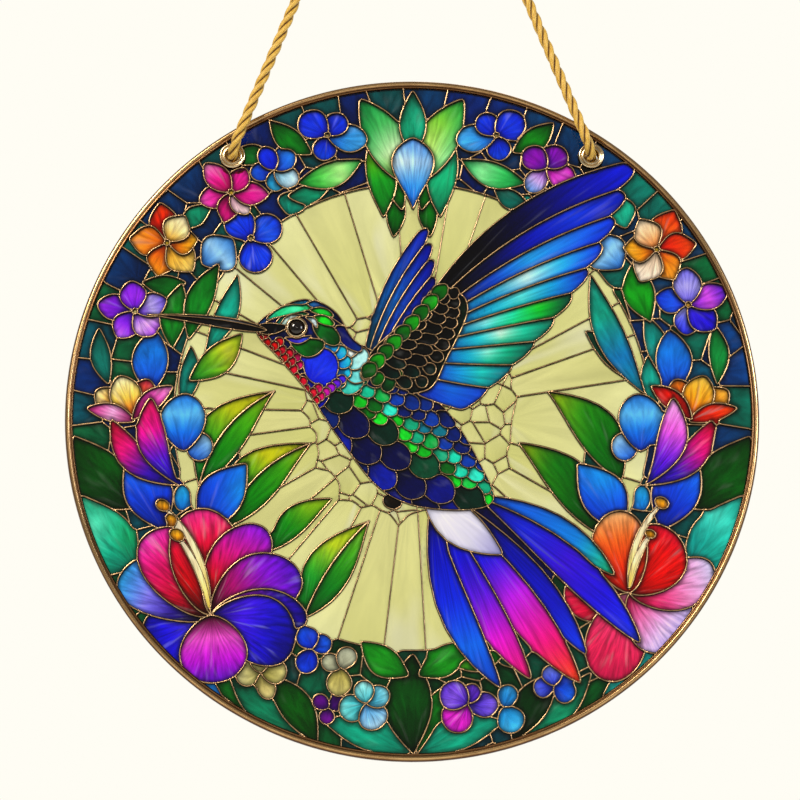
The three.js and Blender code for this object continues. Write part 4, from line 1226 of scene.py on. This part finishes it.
def lay_glass(node):
    """The panes of one figure as slabs: each triangle once in front and once behind, with walls
    round the pane. A vertex carries its tint, its distance from the lead and its place along and
    across the pane's grain, which fans out from the base."""
    points, faces, colour, distance, lay = [], [], [], [], []
    start = 0
    for number, each in enumerate(panes):
        own = triangles[labels == number] if each["node"] == node else []
        if not len(own):
            continue
        used, local = np.unique(own, return_inverse=True)
        local = local.reshape(-1, 3)
        flat = sheet[used]
        count = len(used)
        one, two = local.ravel(), np.roll(local, -1, axis=1).ravel()
        single = ~np.isin(one * count + two, two * count + one)
        a, b = one[single], two[single]
        front = np.column_stack([flat[:, 0] * MM, np.full(count, -GLASS_HALF),
                                 flat[:, 1] * MM - PANEL_DROP])
        points += [front, front * (1, -1, 1)]
        walls = np.column_stack([a, a + count, b + count, b])
        faces += (local + start).tolist() + (local[:, ::-1] + start + count).tolist()
        faces += (walls + start).tolist()
        along = each["tip"] - each["base"]
        length = np.linalg.norm(along)
        away = flat - each["base"]
        forward = away @ along / length
        s = away @ np.array([-along[1], along[0]]) / length
        side = np.clip(s / max(np.abs(s).max(), 0.1) * SIDE_BLEND + 0.5, 0, 1)[:, None]
        side = side * side * (3 - 2 * side)
        t = forward / length
        tone = tints(each["colours"], t) * (1 - side) + tints(each["other"], t) * side
        colour += [np.column_stack([tone, np.ones(count)])] * 2
        # The distance from the lead sets the painted shade; panes along the finest lead are counted as further off.
        distance += [from_lead[used] + each["unshaded"]] * 2
        spread = np.arctan2(s, np.maximum(forward, 0.5)) * max(length * 0.6, 4)
        shift = LAY_SHIFT * number
        lay += [np.column_stack([np.hypot(*away.T), spread]) + shift] * 2
        start += 2 * count
    look, slot = next((look, slot) for word, look, slot in groups if node.startswith(word))
    obj = piece(node.replace("glass_", "panes_"), np.vstack(points), faces, looks[look], smooth=False)
    attribute = obj.data.attributes.new("tint", "FLOAT_COLOR", "POINT")
    attribute.data.foreach_set("color", np.vstack(colour).astype(np.float32).ravel())
    set_number(obj, "from_lead", np.concatenate(distance))
    set_uv(obj, "lay", np.vstack(lay))
    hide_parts(node)


for node in sorted({each["node"] for each in panes}):
    lay_glass(node)


# ------------------------------------------------------------------ the solder
# Copper foil wraps each pane and solder is run along the seams, front and back, in a rounded
# bead with a lump at each joint. Its sides are dark, painted shade together with copper patina;
# its crown is pale gold, a painted highlight together with rubbed wear.
BEAD_DEPTH = 2.2 * MM
BEAD_STEP = 1.5
BEAD_SHARE = 0.68
CROWN_LEAST = 0.25
CROWN_SHARE = 0.3
LUMP_SHARE = 0.62
LUMPED_FROM = 0.6
CAP = np.radians([-90, -54, -18, 18, 54, 90])
# Each ring of a lump: its radius, its height and its painted highlight.
LUMP = np.array([(0.45, -1.04, 1.0), (0.86, -0.9, 0.6), (1.0, -0.55, 0.0),
                 (1.0, 0.55, 0.0), (0.86, 0.9, 0.6), (0.45, 1.04, 1.0)])
LUMP_SIDES = 8
SOLDER_PIECES = 3


def chains():
    """The seams: border edges strung together from joint to joint, with their width."""
    pairs = {}
    for index in np.flatnonzero(border):
        key = (int(labels[owner[index]]), int(labels[other[index]]))
        pairs.setdefault(key, []).append((int(starts[index]), int(ends[index])))
    found = []
    for key, edges in pairs.items():
        width = BEAD_SHARE * (leads[key[0]] + leads[key[1]]) / 2
        after = dict(edges)
        reached = set(after.values())
        heads = [a for a in after if a not in reached]
        while after:
            head = heads.pop() if heads else next(iter(after))
            run = [head]
            while run[-1] in after:
                run.append(after.pop(run[-1]))
            found.append((run, width))
    return found


def bead(run, width):
    """A closed bead along a seam: w/2 sin a across it, its crown h cos a above its upright sides."""
    line = sheet[run]
    length = np.concatenate([[0], np.cumsum(np.linalg.norm(np.diff(line, axis=0), axis=1))])
    steps = max(int(round(length[-1] / BEAD_STEP)), 1)
    at = np.linspace(0, length[-1], steps + 1)
    line = np.column_stack([np.interp(at, length, line[:, k]) for k in range(2)])
    if steps > 3:
        line[1:-1] = line[1:-1] * 0.5 + (line[:-2] + line[2:]) * 0.25
    along = np.gradient(line, axis=0)
    along /= np.maximum(np.linalg.norm(along, axis=1)[:, None], 1e-9)
    side = np.column_stack([-along[:, 1], along[:, 0]])
    crown = (CROWN_LEAST + CROWN_SHARE * width) * MM
    across = np.concatenate([np.sin(CAP), -np.sin(CAP)]) * width / 2
    height = np.cos(CAP) * crown + BEAD_DEPTH - crown
    height = np.concatenate([height, -height])
    plane = line[:, None] + side[:, None] * across[None, :, None]
    points = np.stack([
        plane[..., 0] * MM, np.broadcast_to(-height, plane.shape[:2]), plane[..., 1] * MM - PANEL_DROP,
    ], axis=-1).reshape(-1, 3)
    ring = len(across)
    rows, columns = np.meshgrid(np.arange(steps), np.arange(ring), indexing="ij")
    a, b = rows * ring + columns, rows * ring + (columns + 1) % ring
    quads = np.stack([a, a + ring, b + ring, b], axis=-1).reshape(-1, 4)
    caps = [list(range(ring)), list(range(steps * ring, steps * ring + ring))[::-1]]
    # Last comes the painted highlight: 1 along the crown, 0 on the sides.
    return points, quads, caps, np.tile(np.abs(np.concatenate([np.cos(CAP)] * 2)), steps + 1)


def lump(place, width):
    """A lump of solder at a joint: a low dome with 8 sides in front and behind."""
    a = np.linspace(0, 2 * np.pi, LUMP_SIDES, endpoint=False)[None]
    radius, height, crown_sheen = (LUMP[:, k, None] for k in range(3))
    radius = radius * width * LUMP_SHARE
    points = np.stack([
        (place[0] + radius * np.cos(a)) * MM, np.broadcast_to(height * BEAD_DEPTH, (6, LUMP_SIDES)),
        (place[1] + radius * np.sin(a)) * MM - PANEL_DROP,
    ], axis=-1).reshape(-1, 3)
    i, j = np.meshgrid(np.arange(5), np.arange(LUMP_SIDES), indexing="ij")
    p, q = i * LUMP_SIDES + j, i * LUMP_SIDES + (j + 1) % LUMP_SIDES
    quads = np.stack([p, p + LUMP_SIDES, q + LUMP_SIDES, q], axis=-1).reshape(-1, 4)
    caps = [list(range(LUMP_SIDES)), list(range(5 * LUMP_SIDES, 6 * LUMP_SIDES))[::-1]]
    return points, quads, caps, np.repeat(crown_sheen.ravel(), LUMP_SIDES)


def patinated_solder():
    """Tin solder under a copper patina: dark copper on the sides, as painted shade and patina, and
    pale gold along the crown, as a painted highlight and rubbed wear.
    """
    m = new_material("copper_patina_solder")
    crown_sheen = add(m, "ShaderNodeAttribute", {"attribute_name": "crown_sheen"}).outputs["Fac"]
    place = add(m, "ShaderNodeTexCoord").outputs["Object"]
    cloud = add(m, "ShaderNodeTexNoise", None, {
        "Vector": place, "Scale": 240.0, "Detail": 3.0, "Roughness": 0.6,
    }).outputs[0]
    # The painted crown highlight, broken by random rubbed tones.
    sheen_and_wear = add(m, "ShaderNodeMath", {"operation": "MULTIPLY"}, {
        0: ranged(m, crown_sheen, 0.7, 1.0, 0.0, 1.0), 1: ranged(m, cloud, 0.3, 0.6, 0.45, 1.0),
    }).outputs[0]
    colour = blend_colours(m, sheen_and_wear, linear("1a0c06"), linear("e2bc8c"))
    bump = add(m, "ShaderNodeBump", None, {"Strength": 0.25, "Distance": 0.0003, "Height": cloud})
    return finish_material(m, add(m, "ShaderNodeBsdfPrincipled", None, {
        "Base Color": colour, "Metallic": 1.0, "Roughness": 0.3, "Normal": bump.outputs[0],
    }))


solder = patinated_solder()
seams = chains()
joints = {}
for run, width in seams:
    for end in (run[0], run[-1]):
        joints.setdefault(end, []).append(width)
shapes = [bead(run, width) for run, width in seams]
shapes += [lump(sheet[end], max(widths)) for end, widths in joints.items()
           if len(widths) > 2 and max(widths) > LUMPED_FROM]
share = math.ceil(len(shapes) / SOLDER_PIECES)
for number in range(SOLDER_PIECES):
    batch = shapes[number * share:(number + 1) * share]
    points, faces, crown_sheen, start = [], [], [], 0
    for own, quads, caps, bright in batch:
        points.append(own)
        faces += (quads + start).tolist() + [[each + start for each in cap] for cap in caps]
        crown_sheen.append(bright)
        start += len(own)
    obj = piece(f"solder_seams_{number + 1}", np.vstack(points), faces, solder)
    set_number(obj, "crown_sheen", np.concatenate(crown_sheen))
    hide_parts("solder_net")

# The bird's eye: a black glass nugget, set in a thin ring of bright wire.
nugget = rounded_profile([(0.05, -3.0), (1.6, -2.85), (2.8, -2.3), (3.3, -1.4), (3.3, 1.4),
                          (2.8, 2.3), (1.6, 2.85), (0.05, 3.0)], 0.6)
black = new_material("black_glass")
cloud = add(black, "ShaderNodeTexNoise", None, {"Scale": 300.0}).outputs[0]
finish_material(black, add(black, "ShaderNodeBsdfPrincipled", None, {
    "Base Color": blend_colours(black, cloud, linear("060404"), linear("140c08")),
    "Roughness": 0.04, "Coat Weight": 0.6, "Coat Roughness": 0.02,
}))
pupil = turned("eye_nugget", nugget, 32, eye[0] * MM, eye[1] * MM - PANEL_DROP, black)
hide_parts("glass_head")
wire = rounded_profile([(3.5, -2.4), (3.9, -2.9), (4.4, -2.4), (4.4, 2.4), (3.9, 2.9), (3.5, 2.4)], 0.3)
ring = turned("eye_ring", wire, 40, eye[0] * MM, eye[1] * MM - PANEL_DROP, brass)
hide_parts("solder_net")


# ------------------------------------------------------------------ light and floor
# Daylight comes from behind the panel, as through a window, and a dimmer room lies in front.
MIDDLE = (0, 0, -PANEL_DROP)


def soft_light(name, place, size, power, colour):
    """A square area light that looks at the middle of the panel."""
    data = bpy.data.lights.new(name, "AREA")
    data.size, data.energy, data.color = size, power, linear(colour)[:3]
    light = bpy.data.objects.new(name, data)
    light.location = place
    light.rotation_euler = (Vector(MIDDLE) - Vector(place)).to_track_quat("-Z", "Y").to_euler()
    bpy.context.scene.collection.objects.link(light)


soft_light("key_light", (-0.9, -1.5, 0.7), 0.5, 26, "fff2e0")
soft_light("fill_light", (1.3, -1.2, 0.1), 0.6, 10, "f4f6ff")
soft_light("back_light", (0.3, 1.4, 1.7), 0.8, 8, "fff6e8")
world = bpy.data.worlds.new("daylight")
world.use_nodes = True
bpy.context.scene.world = world
world.node_tree.nodes.clear()
toward = add(world, "ShaderNodeSeparateXYZ", None, {
    "Vector": add(world, "ShaderNodeTexCoord").outputs["Generated"],
}).outputs["Y"]
brightness = ranged(world, toward, -0.2, 0.7, 0.0, 1.0)
daylight = blend_colours(world, brightness, linear("7a756e"), linear("fffdf4"))
sky = add(world, "ShaderNodeBackground", None, {"Color": daylight, "Strength": 1.0})
add(world, "ShaderNodeOutputWorld", None, {"Surface": sky.outputs[0]})

floor_material = new_material("pale_floor")
grain = add(floor_material, "ShaderNodeTexNoise", None, {"Scale": 6.0, "Detail": 2.0}).outputs[0]
finish_material(floor_material, add(floor_material, "ShaderNodeBsdfPrincipled", None, {
    "Base Color": blend_colours(floor_material, grain, linear("e2e0dc"), linear("ecebe8")),
    "Roughness": 0.7,
}))
FLOOR = -1.0
FLOOR_REACH = 4.0
floor_mesh = bpy.data.meshes.new("floor")
floor_mesh.from_pydata([(x * FLOOR_REACH, y * FLOOR_REACH, FLOOR)
                        for x, y in ((-1, -1), (1, -1), (1, 1), (-1, 1))], [], [[0, 1, 2, 3]])
floor_mesh.materials.append(floor_material)
floor = bpy.data.objects.new("floor", floor_mesh)
bpy.context.scene.collection.objects.link(floor)
floor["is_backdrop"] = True
bpy.context.scene.view_settings.view_transform = "Standard"

sizes = {"before": [list(side) for side in box_before], "after": [list(side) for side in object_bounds()]}
